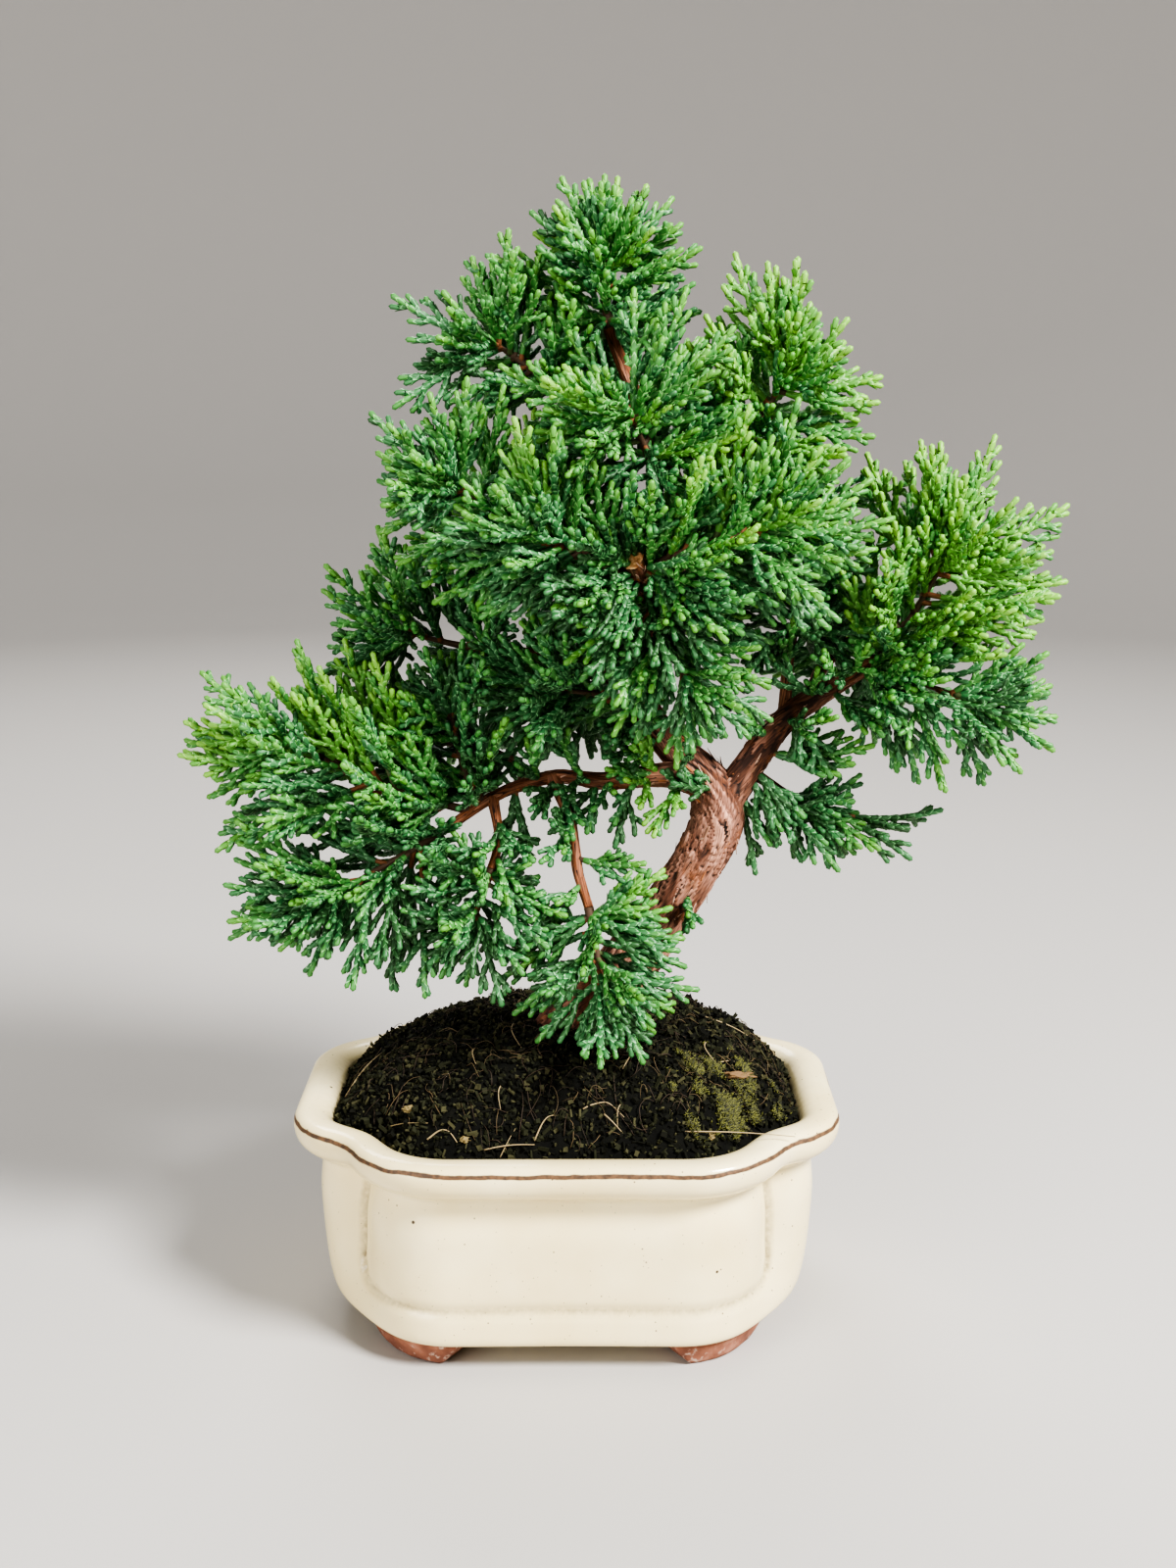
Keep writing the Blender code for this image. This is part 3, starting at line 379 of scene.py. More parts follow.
# Shoots leave the stem some way short of their tips, between two shares of its length, and are
# tried whole and then shorter until one fits
ROOT_LEAD = 0.55
ROOT_RANGE = (0.12, 0.97)
ROOT_STEP = 0.05
SHORTEST_SHARE = 0.6
SHARE_STEP = 0.04
SHORTEST_SHOOT = 11.0
TIPS_PER_SPRAY = 9
PLUMES_PER_SPRAY = 3.1
TIP_SPACING = 0.25
TIP_SWELL = (0.7, 1.14)
VALLEY_SWELL = (0.85, 1.4)
LONG_SHOOT = 0.3
LONG_SHARE = 0.24
CROWN_MIDDLE_X = 20
# Sprays face out of the crown from its middle plane, more to the front and back than to the sides
FACING = (0.3, 0.7, 0.4)
FACING_SPREAD = 0.5
CELL_OVERLAP = 6.0
LIMB_CLEARANCE = 1.3
CLEAR_STEP = 1.6
VIEW_STEP = 2
BOX_MARGIN = 0.9

# Cords of scale leaves: radius, and how far apart the pairs sit, for leader, branchlet and nub
LEADER_CORD = (1.1, 1.5)
BRANCHLET_CORD = (1.02, 1.48)
NUB_CORD = (0.95, 1.4)
LEAFY_LENGTH = 30.0
BARE_SHARE = 0.12
LEADER_LIFT = 0.22
# The bare twig under a plume, from its radius at the foot, over equal steps
PLUME_TWIG_RADIUS = 0.85
PLUME_TWIG_TAPER = 0.05
PLUME_TWIG_STEPS = 5
BRANCHLET_SPACING = 2.8
BRANCHLET_REACH = 14.5
BRANCHLET_LEAN = math.radians(29)
BRANCHLET_ROLL = math.radians(26)
FORWARD_BEND = 0.3
# A side shoot is at most this share of what is left of its shoot, and a stub more, so plumes end in a point
TAPER = (0.56, 1.4)
NUB_SPACING = 4.9
NUB_REACH = 5.5
NUB_LEAN = math.radians(34)
NUB_ROLL = 0.35
SHORTEST_WITH_NUBS = 5.5
# The last branchlet leaves its shoot this far from the tip, and the last nub half as far
LAST_GAP = 3.0
SHORTEST_CORD = 2.2
DRAWN_BACK = 0.78
# The two plumes of a sprig end this far to either side of its tip, and a random bit off that
SPRIG_SPREAD = (2.5, 0, 1.5)
SPRIG_WANDER = 2.5
SPRIG_FACING = (0, -1, 0.3)
# Shoots less fresh than this are longer and further apart, by this share at most
OLD_BELOW = 0.9
OLD_REACH = 0.48
# Shades of green from the deep inside to the new tips, each with the paler margin of its leaves,
# then the dried brown of an old cord. The darker ones are also painted shade inside and low in the
# crown, the lighter ones also painted light on its sunlit top
LEAF_SHADES = (
    ("deep green", "#2a5328", "#608d5c"), ("blue green", "#376c3c", "#80b47e"),
    ("mid green", "#46823c", "#87b971"), ("fresh green", "#599339", "#90c067"),
    ("new tip", "#77ab40", "#a0ca64"), ("dried cord", "#80592f", "#a98552"),
)
TIP_SHADE = 4
DRIED_SHADE = 5
DRIED_SHARE = 0.0015
# A pair of leaves in units of the cord's radius and of the pitch, as radius and height: where its
# sleeve starts under the pair before, its valleys, its keels and its tips. Then the bud's shoulder
# and top
PAIR_BASE = (0.72, -0.9)
PAIR_VALLEY = (0.92, 0.15)
PAIR_KEEL = (1.02, 0.8)
PAIR_TIP = (0.94, 1.15)
BUD_SHOULDER = (0.86, 0.55)
BUD_TOP = 1.0


def srgb(code):
    """A hex colour as it is seen, turned to the linear values that Blender works in."""
    parts = [int(code[i:i + 2], 16) / 255 for i in (1, 3, 5)]
    return tuple(c / 12.92 if c <= 0.04045 else ((c + 0.055) / 1.055) ** 2.4 for c in parts) + (1.0,)


def per_mm(size):
    """The scale of a pattern on Object coordinates whose features are so many millimetres wide."""
    return 1000.0 / size


def clamp(value, low=0, high=1):
    """The value, or the nearer limit where it lies outside the two."""
    return min(max(value, low), high)


def between(ends, share):
    """The value at a share of the way from the first end to the second."""
    return ends[0] + (ends[1] - ends[0]) * share


def random_vector(draw, *limits):
    """A vector whose three parts are drawn alike."""
    return Vector([draw(*limits) for _ in range(3)])


def fill(node, inputs):
    """Sets each named input of a node, or links it where its value is another node's output."""
    for socket, value in inputs.items():
        if isinstance(value, bpy.types.NodeSocket):
            node.id_data.links.new(value, node.inputs[socket])
        else:
            node.inputs[socket].default_value = value


def add(tree, kind, inputs=None, stops=(), out=0, **settings):
    """Adds a node with its settings, inputs and colour stops, and gives back one of its outputs."""
    node = tree.nodes.new(kind)
    for name, value in settings.items():
        setattr(node, name, value)
    for i, (place, color) in enumerate(stops):
        ramp = node.color_ramp.elements
        stop = ramp[i] if i < len(ramp) else ramp.new(place)
        stop.position = place
        stop.color = srgb(color)
    fill(node, inputs or {})
    return node.outputs[out]


def new_material(name, color, roughness, ior=1.5, **sockets):
    """A Principled material, and its node tree and shader to build on."""
    material = bpy.data.materials.new(name)
    material.use_nodes = True
    material.diffuse_color = srgb(color)
    shader = material.node_tree.nodes["Principled BSDF"]
    fill(shader, {"Base Color": srgb(color), "Roughness": roughness, "IOR": ior, "Metallic": 0.0} | sockets)
    return material, material.node_tree, shader


def glaze_finish():
    """Ivory glaze over stoneware, dipped and fired: glossy, a little uneven, flecked with iron from
    the body, and worn through to a brown line where it runs thin along the rim's edge."""
    material, tree, shader = new_material("ivory glaze over stoneware", "#efe6d0", 0.2, ior=1.52)
    places = add(tree, "ShaderNodeTexCoord", out="Object")
    clouds = add(tree, "ShaderNodeTexNoise", {"Vector": places, "Scale": per_mm(26), "Detail": 3.0})
    color = add(tree, "ShaderNodeValToRGB", {"Fac": clouds}, stops=((0.3, "#e7d4a2"), (0.7, "#f2e3b7")))
    for spacing, reach, left_out, tint in FLECKS:
        apart = add(tree, "ShaderNodeTexVoronoi", {"Vector": places, "Scale": per_mm(spacing)})
        cell = add(tree, "ShaderNodeSeparateColor", {"Color": apart.node.outputs["Color"]})
        near = add(tree, "ShaderNodeMapRange", {"Value": apart, "From Min": reach, "From Max": reach * 0.6})
        chosen = add(tree, "ShaderNodeMath", {0: cell, 1: left_out}, operation="GREATER_THAN")
        fleck = add(tree, "ShaderNodeMath", {0: near, 1: chosen}, operation="MULTIPLY")
        color = add(tree, "ShaderNodeMix", {0: fleck, 6: color, 7: srgb(tint)}, out=2, data_type="RGBA")
    # The worn line wanders by half a millimetre and comes and goes
    height = add(tree, "ShaderNodeAttribute", out="Fac", attribute_name="rim_line")
    wander = add(tree, "ShaderNodeTexNoise", {"Vector": places, "Scale": per_mm(9), "Detail": 4.0})
    offset = add(tree, "ShaderNodeMath", {0: wander, 1: -0.5}, operation="ADD")
    swing = add(tree, "ShaderNodeMath", {0: offset, 1: 1.7, 2: height}, operation="MULTIPLY_ADD")
    off_line = add(tree, "ShaderNodeMath", {0: swing}, operation="ABSOLUTE")
    worn = add(tree, "ShaderNodeMapRange", {"Value": off_line, "From Min": RIM_LINE_HALF * 1.15,
                                            "From Max": RIM_LINE_HALF * 0.7, "To Max": 0.97})
    grain = add(tree, "ShaderNodeTexNoise", {"Vector": places, "Scale": per_mm(1.4), "Detail": 2.0})
    brown = add(tree, "ShaderNodeValToRGB", {"Fac": grain}, stops=((0.35, "#3b2212"), (0.66, "#694628")))
    lined = add(tree, "ShaderNodeMix", {0: worn, 6: color, 7: brown}, out=2, data_type="RGBA")
    # Dirt and painted shade, in patches: dust and damp from the soil, and shade painted darker in the grooves
    # and down the inner wall under the rim
    grime_and_shade = add(tree, "ShaderNodeAttribute", out="Fac", attribute_name="grime_and_shade")
    patchy = add(tree, "ShaderNodeMath", {0: grain, 1: grime_and_shade}, operation="MULTIPLY")
    dirty_and_shaded = add(tree, "ShaderNodeMix", {0: patchy, 6: lined, 7: srgb("#75643f")}, out=2, data_type="RGBA")
    rough = add(tree, "ShaderNodeMapRange", {"Value": worn, "From Max": 0.9, "To Min": 0.19, "To Max": 0.6})
    waves = add(tree, "ShaderNodeTexNoise", {"Vector": places, "Scale": per_mm(7), "Detail": 2.0})
    bump = add(tree, "ShaderNodeBump", {"Height": waves, "Distance": 0.00022, "Strength": 0.5})
    fill(shader, {"Base Color": dirty_and_shaded, "Roughness": rough, "Normal": bump})
    return material


def clay_finish():
    """Red clay, pressed and left unglazed: matt, gritty, with chalky salts on it."""
    material, tree, shader = new_material("unglazed red clay", "#8a5844", 0.85)
    places = add(tree, "ShaderNodeTexCoord", out="Object")
    clouds = add(tree, "ShaderNodeTexNoise", {"Vector": places, "Scale": per_mm(6), "Detail": 5.0})
    body = add(tree, "ShaderNodeValToRGB", {"Fac": clouds},
               stops=((0.3, "#6d4334"), (0.55, "#93604a"), (0.75, "#b98a74")))
    chalk = add(tree, "ShaderNodeTexNoise", {"Vector": places, "Scale": per_mm(2.2), "Detail": 6.0})
    marks = add(tree, "ShaderNodeMapRange", {"Value": chalk, "From Min": 0.58, "From Max": 0.72})
    chalky = add(tree, "ShaderNodeMix", {0: marks, 6: body, 7: srgb("#cdb8a6")}, out=2, data_type="RGBA")
    bump = add(tree, "ShaderNodeBump", {"Height": chalk, "Distance": 0.0004, "Strength": 0.7})
    fill(shader, {"Base Color": chalky, "Normal": bump})
    return material


def peat_finish():
    """Damp peat: near black, crumbly and quite matt, browner where it has dried."""
    material, tree, shader = new_material("damp peat", "#15130d", 0.9, **PEAT_SHEEN)
    places = add(tree, "ShaderNodeTexCoord", out="Object")
    clumps = add(tree, "ShaderNodeTexNoise", {"Vector": places, "Scale": per_mm(3.5), "Detail": 6.0})
    body = add(tree, "ShaderNodeValToRGB", {"Fac": clumps},
               stops=((0.35, "#080805"), (0.6, "#0f0f09"), (0.78, "#1b1a11")))
    bump = add(tree, "ShaderNodeBump", {"Height": clumps, "Distance": 0.0008, "Strength": 0.8})
    fill(shader, {"Base Color": body, "Normal": bump})
    return material


def bark_finish():
    """Juniper bark: reddish brown strips that weather to pinkish grey and split along the grain."""
    material, tree, shader = new_material("peeling juniper bark", "#84604d", 0.85)
    layer = add(tree, "ShaderNodeAttribute", out="Fac", attribute_name="layer")
    tone = add(tree, "ShaderNodeAttribute", out="Fac", attribute_name="tone")
    young = add(tree, "ShaderNodeAttribute", out="Fac", attribute_name="youth")
    along = add(tree, "ShaderNodeUVMap", uv_map="grain")
    # Fibres 0.35 mm wide and 5 mm long, on a map whose unit is a millimetre
    stretched = add(tree, "ShaderNodeMapping", {"Vector": along, "Scale": (1 / 0.35, 1 / 5.0, 1.0)})
    fibres = add(tree, "ShaderNodeTexNoise", {"Vector": stretched, "Scale": 1.0, "Detail": 4.0})
    plates = add(tree, "ShaderNodeValToRGB", {"Fac": tone},
                 stops=((0.0, "#3a2318"), (0.35, "#774e39"), (0.62, "#ab816e"), (0.9, "#d8ab94")))
    # Young wood, and patches where the old bark has come off, are orange brown
    places = add(tree, "ShaderNodeTexCoord", out="Object")
    patches = add(tree, "ShaderNodeTexNoise", {"Vector": places, "Scale": per_mm(8), "Detail": 3.0})
    bare = add(tree, "ShaderNodeMapRange",
               {"Value": patches, "From Min": 0.52, "From Max": 0.68, "To Max": 0.7})
    fresh = add(tree, "ShaderNodeMath", {0: bare, 1: young}, operation="MAXIMUM")
    orange = add(tree, "ShaderNodeMix", {0: fresh, 6: plates, 7: srgb("#a0643b")}, out=2, data_type="RGBA")
    streaks = add(tree, "ShaderNodeValToRGB", {"Fac": fibres},
                  stops=((0.3, "#4a352a"), (0.48, "#c0aca0"), (0.66, "#ffeee4")))
    streaked = add(tree, "ShaderNodeMix", {0: 0.8, 6: orange, 7: streaks}, out=2, data_type="RGBA",
                   blend_type="MULTIPLY")
    edge = add(tree, "ShaderNodeMapRange", {"Value": layer, "From Min": 0.3, "From Max": 0.06})
    split = add(tree, "ShaderNodeMix", {0: edge, 6: streaked, 7: srgb("#20130d")}, out=2, data_type="RGBA")
    bump = add(tree, "ShaderNodeBump", {"Height": fibres, "Distance": 0.0003, "Strength": 0.8})
    fill(shader, {"Base Color": split, "Normal": bump})
    return material


def cut_finish():
    """Sawn juniper wood, dried on the cut: pale orange with darker checks."""
    material, tree, shader = new_material("sawn juniper wood", "#d9a06a", 0.7)
    places = add(tree, "ShaderNodeTexCoord", out="Object")
    grain = add(tree, "ShaderNodeTexNoise", {"Vector": places, "Scale": per_mm(1.1), "Detail": 4.0})
    wood = add(tree, "ShaderNodeValToRGB", {"Fac": grain},
               stops=((0.3, "#8a4f28"), (0.5, "#d49a66"), (0.7, "#f0c795")))
    fill(shader, {"Base Color": wood})
    return material


def plain_finish(name, color, roughness, **sockets):
    """One plain colour, for the many small things whose colours are dealt out piece by piece."""
    return new_material(name, color, roughness, **sockets)[0]


def shade_finishes(shades, kind, roughness, **sockets):
    """A plain finish for each shade of one kind of thing."""
    return [plain_finish(f"{name} {kind}", color, roughness, **sockets) for name, color, _ in shades]


def dealt(shades):
    """The number of each shade, as often as its share says."""
    return [number for number, (_, _, share) in enumerate(shades) for _ in range(share)]


def leaf_finishes():
    """Waxy scale leaves, satin, in plain shades: the leaf and its paler margin for each shade."""
    finishes = []
    for name, leaf, margin in LEAF_SHADES:
        finishes.append(plain_finish(f"{name} scale leaf", leaf, 0.5))
        finishes.append(plain_finish(f"{name} leaf margin", margin, 0.55))
    return finishes


def put_in_scene(name, data):
    """A new object in the scene, round its mesh, camera or light."""
    thing = bpy.data.objects.new(name, data)
    bpy.context.scene.collection.objects.link(thing)
    return thing


def place_piece(mesh, name, materials, replaced=()):
    """Turns a mesh to metres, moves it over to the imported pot, and hands it to the frame."""
    mesh.transform(TO_FRAME)
    mesh.update()
    for material in materials:
        mesh.materials.append(material)
    piece = put_in_scene(name, mesh)
    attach(piece, "root")
    if replaced:
        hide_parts(*replaced)
    return piece


def mesh_of(bm, name, smooth=True):
    """The mesh of a bmesh, whose faces are turned outwards first."""
    bmesh.ops.recalc_face_normals(bm, faces=bm.faces)
    for face in bm.faces:
        face.smooth = smooth
    mesh = bpy.data.meshes.new(name)
    bm.to_mesh(mesh)
    bm.free()
    return mesh


def bmesh_piece(bm, name, materials, replaced=()):
    """A smooth piece from a bmesh."""
    return place_piece(mesh_of(bm, name), name, materials, replaced)


def array_piece(name, arrays, materials, replaced=(), smooth=True):
    """A piece from arrays of points, triangles and the material number of each triangle."""
    points, triangles, shades = arrays
    mesh = bpy.data.meshes.new(name)
    mesh.vertices.add(len(points))
    mesh.vertices.foreach_set("co", np.asarray(points, np.float32).ravel())
    mesh.loops.add(3 * len(triangles))
    mesh.loops.foreach_set("vertex_index", np.asarray(triangles, np.int32).ravel())
    mesh.polygons.add(len(triangles))
    mesh.polygons.foreach_set("loop_start", np.arange(len(triangles), dtype=np.int32) * 3)
    mesh.polygons.foreach_set("material_index", np.asarray(shades, np.int32))
    mesh.polygons.foreach_set("use_smooth", np.full(len(triangles), smooth))
    mesh.update(calc_edges=True)
    return place_piece(mesh, name, materials, replaced)


def template(bm):
    """A small bmesh as arrays of points, triangles and material numbers, to be stamped many times."""
    bmesh.ops.triangulate(bm, faces=bm.faces)
    bmesh.ops.recalc_face_normals(bm, faces=bm.faces)
    bm.verts.index_update()
    points = np.array([v.co for v in bm.verts])
    triangles = np.array([[v.index for v in f.verts] for f in bm.faces])
    shades = np.array([f.material_index for f in bm.faces])
    bm.free()
    return points, triangles, shades


def stamp(shape, origins, axes_x, axes_y, axes_z, offsets):
    """The template set down at every origin on its own three axes, its material numbers shifted."""
    points, triangles, shades = shape
    count = len(origins)
    placed = origins[:, None, :] + (points[None, :, 0, None] * axes_x[:, None, :]
                                    + points[None, :, 1, None] * axes_y[:, None, :]
                                    + points[None, :, 2, None] * axes_z[:, None, :])
    joined = triangles[None] + (np.arange(count) * len(points))[:, None, None]
    return placed.reshape(-1, 3), joined.reshape(-1, 3), (shades[None] + offsets[:, None]).ravel()


def join_arrays(parts):
    """Several stamped sets as one set of arrays."""
    points, triangles, shades = zip(*parts)
    bases = np.cumsum([0] + [len(part) for part in points[:-1]])
    moved = [part + base for part, base in zip(triangles, bases)]
    return np.concatenate(points), np.concatenate(moved), np.concatenate(shades)


def scatter(name, shape, copies, materials, smooth=True):
    """A piece of many copies of a template, each given as its place, its three axes and its shade."""
    origins, *axes, tints = (np.array(column) for column in zip(*copies))
    array_piece(name, stamp(shape, origins, *axes, tints), materials, smooth=smooth)


def loft(bm, rings):
    """Lays a grid over the rings, welds the seam where it meets itself and closes both ends. Gives
    back the two end faces, and for each point of the grid its column and level."""
    sides, levels = len(rings[0]), len(rings)
    points = bmesh.ops.create_grid(bm, x_segments=sides, y_segments=levels - 1, size=1.0)["verts"]
    spots = {}
    for index, vert in enumerate(points):
        level, column = divmod(index, sides + 1)
        vert.co = rings[level][column % sides]
        spots[vert] = (column, level)
    seam = [v for v, (column, _) in spots.items() if column in (0, sides)]
    doubles = bmesh.ops.find_doubles(bm, verts=seam, dist=0.0001)["targetmap"]
    bmesh.ops.weld_verts(bm, targetmap=doubles)
    spots = {v: spot for v, spot in spots.items() if v.is_valid}
    ends = []
    for level in (0, levels - 1):
        rim = [v for v, spot in spots.items() if spot[1] == level]
        edges = {e for v in rim for e in v.link_edges if e.is_boundary}
        ends.append(bmesh.ops.contextual_create(bm, geom=list(edges))["faces"][0])
    return ends, spots


def box_distance(x, y, half_width, half_depth, corner):
    """How far points lie outside an oblong with round corners, negative inside it."""
    over_x, over_y = np.abs(x) - half_width + corner, np.abs(y) - half_depth + corner
    outside = np.hypot(np.maximum(over_x, 0), np.maximum(over_y, 0))
    return outside + np.minimum(np.maximum(over_x, over_y), 0) - corner


def lobes_and_panels(x, y, tuck=0.0):
    """How far points lie outside the side lobes, and how far outside the front and back panels."""
    return (box_distance(x, y, LOBE_HALF_WIDTH - tuck, LOBE_HALF_DEPTH, LOBE_CORNER),
            box_distance(x, y, PANEL_HALF_WIDTH, PANEL_HALF_DEPTH, PANEL_CORNER))


def plan_distance(x, y, rounding, tuck=0.0):
    """The same for the whole plan of the pot, rounded in the notches where lobes and panels meet."""
    lobes, panels = lobes_and_panels(x, y, tuck)
    near = np.maximum(rounding - np.abs(lobes - panels), 0) / rounding
    return np.minimum(lobes, panels) - near**2 * rounding / 4


def plan_ring(bearings, inset, z, rounding, tuck):
    """Where lines from the pot's middle meet the wall at a height, drawn in by the inset."""
    near, far = np.zeros(len(bearings)), np.full(len(bearings), 1.3 * LOBE_HALF_WIDTH)
    for _ in range(30):
        middle = (near + far) / 2
        inside = plan_distance(middle * np.cos(bearings), middle * np.sin(bearings), rounding, tuck) < -inset
        near, far = np.where(inside, middle, near), np.where(inside, far, middle)
    return [Vector((r * math.cos(b), r * math.sin(b), z)) for r, b in zip(near, bearings)]


def plan_bearings(count):
    """Bearings spaced as on an ellipse of the pot's sides, so that the corners get their share."""
    turns = math.tau * (np.arange(count) + 0.5) / count
    return np.arctan2(PANEL_HALF_DEPTH * np.sin(turns), LOBE_HALF_WIDTH * np.cos(turns))


def smooth_path(places, steps):
    """A smooth curve through the places, with the same number of steps on each span."""
    places = [Vector(p) for p in places]
    before = [2 * places[0] - places[1]] + places[:-1]
    after = places[1:] + [2 * places[-1] - places[-2]]
    points = []
    for i in range(len(places) - 1):
        start, end = places[i], places[i + 1]
        leave, arrive = (end - before[i]) / 2, (after[i + 1] - start) / 2
        for k in range(steps):
            t = k / steps
            points.append((2 * t**3 - 3 * t**2 + 1) * start + (t**3 - 2 * t**2 + t) * leave
                          + (3 * t**2 - 2 * t**3) * end + (t**3 - t**2) * arrive)
    return points + [places[-1]]


def at_span(values, along, steps):
    """The value a number of spans along a limb, between two of its stations."""
    place = clamp(along * steps, 0, len(values) - 1)
    first = min(int(place), len(values) - 2)
    return between(values[first:first + 2], place - first)


class Limb:
    """A tapering limb: its centre line and its radii, as the part's source works them out."""

    def __init__(self, places, radii, steps=LIMB_STEPS):
        self.steps = steps
        self.points = smooth_path(places, steps)
        last = len(self.points) - 1
        self.radii = [at_span(radii, i * (len(radii) - 1) / last, 1) for i in range(last + 1)]

    def place(self, along):
        return at_span(self.points, along, self.steps)

    def stations(self, gap):
        """Places an even gap apart on a smooth line through the points, each with radius and run."""
        fine = smooth_path(self.points, 8)
        wide = [at_span(self.radii, i / 8, 1) for i in range(len(fine))]
        runs = [0.0]
        for a, b in zip(fine, fine[1:]):
            runs.append(runs[-1] + (b - a).length)
        wanted = np.linspace(0, runs[-1], max(2, round(runs[-1] / gap)) + 1)
        columns = [np.interp(wanted, runs, [p[k] for p in fine]) for k in range(3)]
        radii = np.interp(wanted, runs, wide)
        return [(Vector(place), float(radius), float(run))
                for place, radius, run in zip(zip(*columns), radii, wanted)]


def line_frames(points):
    """A heading and two side directions at each point, turned as little as the line allows."""
    heading = (points[1] - points[0]).normalized()
    side = heading.orthogonal().normalized()
    frames = []
    for i in range(len(points)):
        turned = (points[min(i + 1, len(points) - 1)] - points[max(i - 1, 0)]).normalized()
        side = heading.rotation_difference(turned) @ side
        heading = turned
        frames.append((heading, side.copy(), heading.cross(side)))
    return frames


def tube_arrays(points, radii, sides, shade):
    """A round tube along a line as arrays, closed at both ends."""
    turns = math.tau * np.arange(sides) / sides
    rings = []
    for (_, side, across), point, radius in zip(line_frames(points), points, radii):
        circle = np.outer(np.cos(turns), side) + np.outer(np.sin(turns), across)
        rings.append(np.array(point) + radius * circle)
    placed = np.concatenate(rings + [[points[0]], [points[-1]]])
    around, after = np.arange(sides), (np.arange(sides) + 1) % sides
    triangles = []
    for k in range(len(points) - 1):
        low_ring, high_ring = k * sides, (k + 1) * sides
        triangles.append(np.stack((low_ring + around, low_ring + after, high_ring + after), 1))
        triangles.append(np.stack((low_ring + around, high_ring + after, high_ring + around), 1))
    first, last = len(placed) - 2, (len(points) - 1) * sides
    triangles.append(np.stack((after, around, np.full(sides, first)), 1))
    triangles.append(np.stack((last + around, last + after, np.full(sides, first + 1)), 1))
    triangles = np.concatenate(triangles)
    return placed, triangles, np.full(len(triangles), shade)


def panel_relief(x, y, z):
    """How far the wall stands out at a panel, less than nothing in the groove round it, and how near
    the groove is, from 0 to 1."""
    lobes, panels = lobes_and_panels(x, y)
    over_side, over_base = GROOVE_CORNER - (lobes - panels), GROOVE_CORNER - (z - GROOVE_BASE)
    inside = GROOVE_CORNER - math.hypot(max(over_side, 0), max(over_base, 0))
    fade = clamp((GROOVE_TOP + GROOVE_FADE / 2 - z) / GROOVE_FADE)
    near = math.exp(-(inside / GROOVE_HALF_WIDTH) ** 2) * fade
    side = near if over_side > over_base else BASE_GROOVE_SHARE * near
    bulge = clamp(inside / GROOVE_CORNER)
    return PANEL_BULGE * bulge * bulge * (3 - 2 * bulge) * fade - GROOVE_DEPTH * side, side


def make_pot(glaze):
    """The glazed wall, its rolled rim, the inside and the floor with its two drainage holes."""
    levels = [Vector(level) for level in OUTER_WALL + RIM_AND_INNER_WALL]
    fine = smooth_path(levels, POT_STEPS)
    rim_start = POT_STEPS * (len(OUTER_WALL) + 1)
    bearings = plan_bearings(POT_PLAN_POINTS)
    bm = bmesh.new()
    rim_line = bm.verts.layers.float.new("rim_line")
    grime_and_shade = bm.verts.layers.float.new("grime_and_shade")
    rings = []
    for inset, z, rounding, tuck in fine:
        ring = plan_ring(bearings, inset, z, max(rounding, 3.0), max(tuck, 0.0))
        for point in ring:
            wobble = noise.noise((point.x / 40, point.y / 40, z / 30))
            relief = panel_relief(point.x, point.y, z)[0] if len(rings) <= rim_start else 0
            point.xy *= 1 + (POT_WOBBLE * (wobble - 0.5) + relief) / point.xy.length
        rings.append(ring)
    _, spots = loft(bm, rings)
    for vert, (_, level) in spots.items():
        outside = level <= rim_start + 1
        vert[rim_line] = vert.co.z - RIM_LINE_HEIGHT if outside else NO_LINE
        # Painted shade, with some dirt: darker in the grooves, and further down the inner wall under the rim
        groove = panel_relief(*vert.co)[1] if outside else 0.0
        inner = 0.0 if outside else clamp((RIM_HEIGHT + 0.5 - vert.co.z) / 6)
        vert[grime_and_shade] = 1.6 * groove + 0.9 * inner
    pot = bmesh_piece(bm, "glazed_pot", [glaze], ["pot"])
    drains = []
    for x in (-DRAIN_X, DRAIN_X):
        bm = bmesh.new()
        bmesh.ops.create_cone(bm, cap_ends=True, segments=40, radius1=DRAIN_RADIUS, radius2=DRAIN_RADIUS,
                              depth=DRAIN_DEPTH, matrix=Matrix.Translation((x, 0, DRAIN_Z)))
        mesh = mesh_of(bm, "drain", smooth=False)
        mesh.transform(TO_FRAME)
        drains.append(put_in_scene("drain", mesh))
        cut = pot.modifiers.new("drain", "BOOLEAN")
        cut.object = drains[-1]
        cut.operation = "DIFFERENCE"
    graph = bpy.context.evaluated_depsgraph_get()
    cut_mesh = bpy.data.meshes.new_from_object(pot.evaluated_get(graph))
    pot.modifiers.clear()
    pot.data = cut_mesh
    for drain in drains:
        bpy.data.objects.remove(drain)


